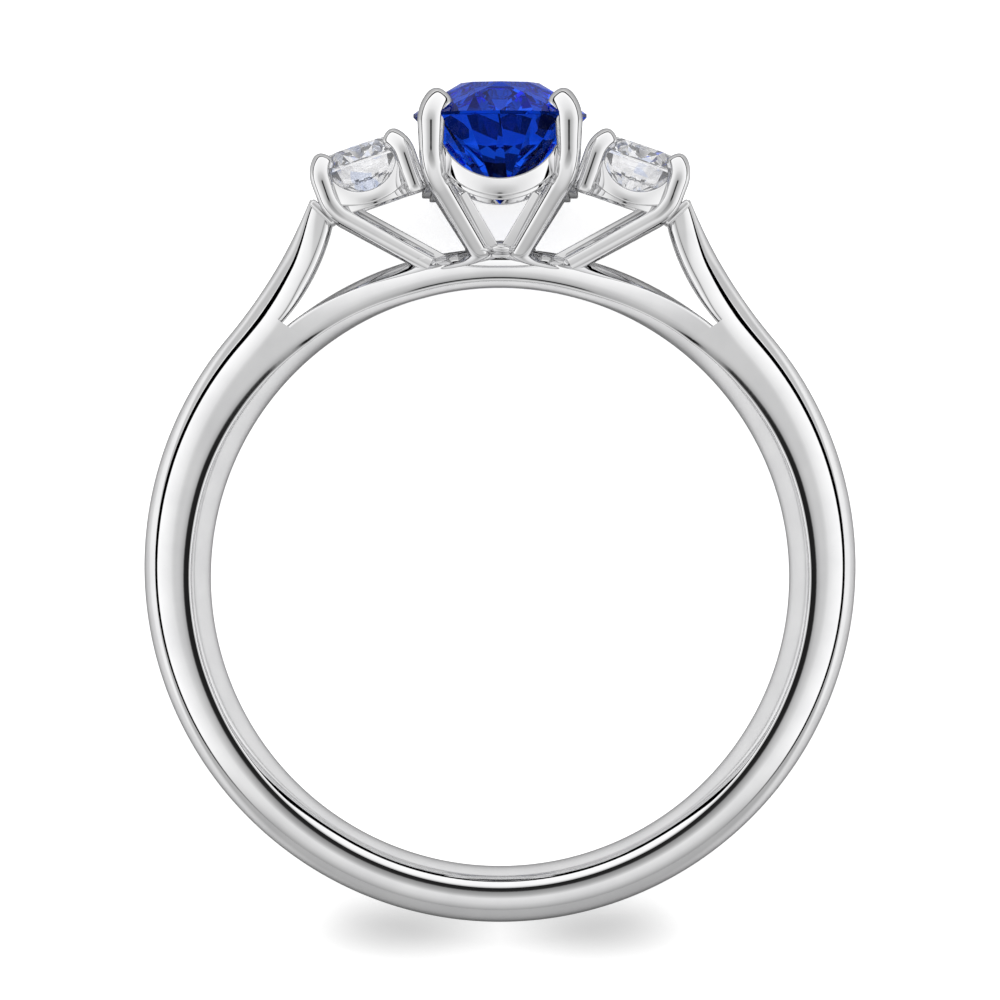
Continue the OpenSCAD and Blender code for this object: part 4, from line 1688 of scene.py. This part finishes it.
def build_sky(n):
    """Soft light of a white tent: dark at the camera's opening, brighter to the sides, with a
    dark seam where the tent meets the table."""
    world = bpy.data.worlds.new("studio")
    bpy.context.scene.world = world
    world.use_nodes = True
    tree = world.node_tree
    tree.nodes.clear()
    place = added(tree, "ShaderNodeTexCoord").outputs["Generated"]
    along = vector(tree, "DOT_PRODUCT", "Value", place, n.lie @ Vector((0, 0, 1)))
    up = vector(tree, "DOT_PRODUCT", "Value", place, n.lie @ Vector((0, 1, 0)))
    angle = number(tree, "ARCCOSINE", along)
    part = number(tree, "DIVIDE", angle, math.pi)
    toward = number(tree, "DIVIDE", up, number(tree, "SINE", angle))
    palm = ranged(tree, toward, PALM_FROM, PALM_FULL)
    light = mixed(tree, palm, tent_light(tree, TENT, part), tent_light(tree, PALM_SIDE, part))
    sky = added(tree, "ShaderNodeBackground", {"Color": light, "Strength": SKY_STRENGTH})
    added(tree, "ShaderNodeOutputWorld", {"Surface": sky.outputs["Background"]})


def aim(obj, at, up):
    """Turns a camera or light at obj's place towards a point."""
    back = (obj.location - at).normalized()
    right = up.cross(back).normalized()
    over = back.cross(right)
    obj.matrix_world = Matrix(
        (
            (right.x, over.x, back.x, obj.location.x),
            (right.y, over.y, back.y, obj.location.y),
            (right.z, over.z, back.z, obj.location.z),
            (0, 0, 0, 1),
        )
    )


# Half the board's width, the camera's clipping distances, and the size and place of the lamp
FLOOR_HALF = 1.5
CLIP_START = 0.01
CLIP_END = 20.0
LAMP_WIDE = 0.5
LAMP_DEEP = 0.3
LAMP_PLACE = (0, 0.35, 0.5)


def build_studio(n, scene):
    """The board, the tent's light, the camera, and a lamp that the metal doesn't reflect."""
    st = scene.ring_studio
    low = CAD_BOX[0].z
    half = FLOOR_HALF
    mesh = bpy.data.meshes.new("floor")
    mesh.from_pydata(
        [(-half, -half, low), (half, -half, low), (half, half, low), (-half, half, low)],
        [],
        [(0, 1, 2, 3)],
    )
    floor = bpy.data.objects.new("floor", mesh)
    scene.collection.objects.link(floor)
    mesh.materials.append(floor_finish(scene))
    build_sky(n)
    middle = n.lie @ Vector((0, st.view_y, 0))
    axis = n.lie @ Matrix.Rotation(-st.raise_eye, 4, "X") @ Vector((0, 0, 1))
    camera = bpy.data.objects.new("camera", bpy.data.cameras.new("camera"))
    scene.collection.objects.link(camera)
    camera.location = middle + axis * st.camera_far
    camera.data.sensor_fit = "HORIZONTAL"
    camera.data.angle = 2 * math.atan(st.view_h / 2 / st.camera_far)
    camera.data.clip_start = CLIP_START
    camera.data.clip_end = CLIP_END
    aim(camera, middle, n.lie @ Vector((0, 1, 0)))
    scene.camera = camera
    lamp = bpy.data.lights.new("key", "AREA")
    lamp.shape = "RECTANGLE"
    lamp.size = LAMP_WIDE
    lamp.size_y = LAMP_DEEP
    lamp.energy = st.key
    key = bpy.data.objects.new("key", lamp)
    scene.collection.objects.link(key)
    key.location = Vector(LAMP_PLACE)
    aim(key, Vector((0, 0, 0)), Vector((0, 0, 1)))
    key.visible_glossy = False
    key.visible_transmission = False
    scene.view_settings.view_transform = "Standard"


# Operators, one for each group of pieces


class RING_OT_band(bpy.types.Operator):
    """Builds the band with its shoulders and arms."""

    bl_idname = "ring.band"
    bl_label = "Band and arms"

    def execute(self, context):
        build_band(plan(context.scene), metal_finish(context.scene))
        return {"FINISHED"}


class RING_OT_bridge(bpy.types.Operator):
    """Builds the bridge below the stones."""

    bl_idname = "ring.bridge"
    bl_label = "Bridge"

    def execute(self, context):
        build_bridge(plan(context.scene), metal_finish(context.scene))
        return {"FINISHED"}


class RING_OT_centre_basket(bpy.types.Operator):
    """Builds the oval basket and its rim."""

    bl_idname = "ring.centre_basket"
    bl_label = "Centre basket"

    def execute(self, context):
        build_centre_basket(plan(context.scene), metal_finish(context.scene))
        return {"FINISHED"}


class RING_OT_centre_claws(bpy.types.Operator):
    """Builds the four claws of the sapphire."""

    bl_idname = "ring.centre_claws"
    bl_label = "Centre claws"

    def execute(self, context):
        build_centre_claws(plan(context.scene), metal_finish(context.scene))
        return {"FINISHED"}


class RING_OT_side_baskets(bpy.types.Operator):
    """Builds the round baskets and their rims."""

    bl_idname = "ring.side_baskets"
    bl_label = "Side baskets"

    def execute(self, context):
        build_side_baskets(plan(context.scene), metal_finish(context.scene))
        return {"FINISHED"}


class RING_OT_side_claws(bpy.types.Operator):
    """Builds the long and short claws of the diamonds."""

    bl_idname = "ring.side_claws"
    bl_label = "Side claws"

    def execute(self, context):
        build_side_claws(plan(context.scene), metal_finish(context.scene))
        return {"FINISHED"}


class RING_OT_webs(bpy.types.Operator):
    """Builds the flat webs between the legs."""

    bl_idname = "ring.webs"
    bl_label = "Webs"

    def execute(self, context):
        build_webs(plan(context.scene), metal_finish(context.scene))
        return {"FINISHED"}


class RING_OT_solder(bpy.types.Operator):
    """Builds the lugs between the baskets and the solder at the feet."""

    bl_idname = "ring.solder"
    bl_label = "Lugs and solder"

    def execute(self, context):
        build_solder(plan(context.scene), metal_finish(context.scene))
        return {"FINISHED"}


class RING_OT_stones(bpy.types.Operator):
    """Gives the stones their finish."""

    bl_idname = "ring.stones"
    bl_label = "Stones"

    def execute(self, context):
        c = context.scene.ring_finish
        blue, *parts = stone_finish("blue_sapphire", c.deep, c.pale, SAPPHIRE)
        deepen(blue, *parts, SAPPHIRE)
        clear, *_ = stone_finish("clear_diamond", c.blue_flecks_and_painted_facets, c.clear, DIAMOND)
        for node, finish in (
            ("centre_sapphire", blue),
            ("left_diamond", clear),
            ("right_diamond", clear),
        ):
            obj = frame["nodes"][node]
            for slot in obj.material_slots:
                slot.material = finish
        return {"FINISHED"}


class RING_OT_studio(bpy.types.Operator):
    """Sets up the floor, the light and the camera."""

    bl_idname = "ring.studio"
    bl_label = "Studio"

    def execute(self, context):
        build_studio(plan(context.scene), context.scene)
        return {"FINISHED"}


STEPS = (
    RING_OT_band,
    RING_OT_bridge,
    RING_OT_centre_basket,
    RING_OT_centre_claws,
    RING_OT_side_baskets,
    RING_OT_side_claws,
    RING_OT_webs,
    RING_OT_solder,
    RING_OT_stones,
    RING_OT_studio,
)


class RING_PT_panel(bpy.types.Panel):
    """Lists the steps that build the ring."""

    bl_label = "Three stone ring"
    bl_idname = "RING_PT_panel"
    bl_space_type = "VIEW_3D"
    bl_region_type = "UI"
    bl_category = "Ring"

    def draw(self, context):
        for step in STEPS:
            self.layout.operator(step.bl_idname)


GROUPS = (
    ("ring_band", BandSizes),
    ("ring_stones", StoneSizes),
    ("ring_head", HeadSizes),
    ("ring_finish", FinishColours),
    ("ring_studio", StudioSettings),
)


def register():
    for name, group in GROUPS:
        bpy.utils.register_class(group)
        setattr(bpy.types.Scene, name, PointerProperty(type=group))
    for step in STEPS:
        bpy.utils.register_class(step)
    bpy.utils.register_class(RING_PT_panel)


def unregister():
    bpy.utils.unregister_class(RING_PT_panel)
    for step in reversed(STEPS):
        bpy.utils.unregister_class(step)
    for name, group in reversed(GROUPS):
        delattr(bpy.types.Scene, name)
        bpy.utils.unregister_class(group)


def main():
    register()
    for step in STEPS:
        word = step.bl_idname.split(".")[1]
        if getattr(bpy.ops.ring, word)() != {"FINISHED"}:
            raise RuntimeError(f"{step.bl_label} wasn't built")


if __name__ == "__main__":
    main()
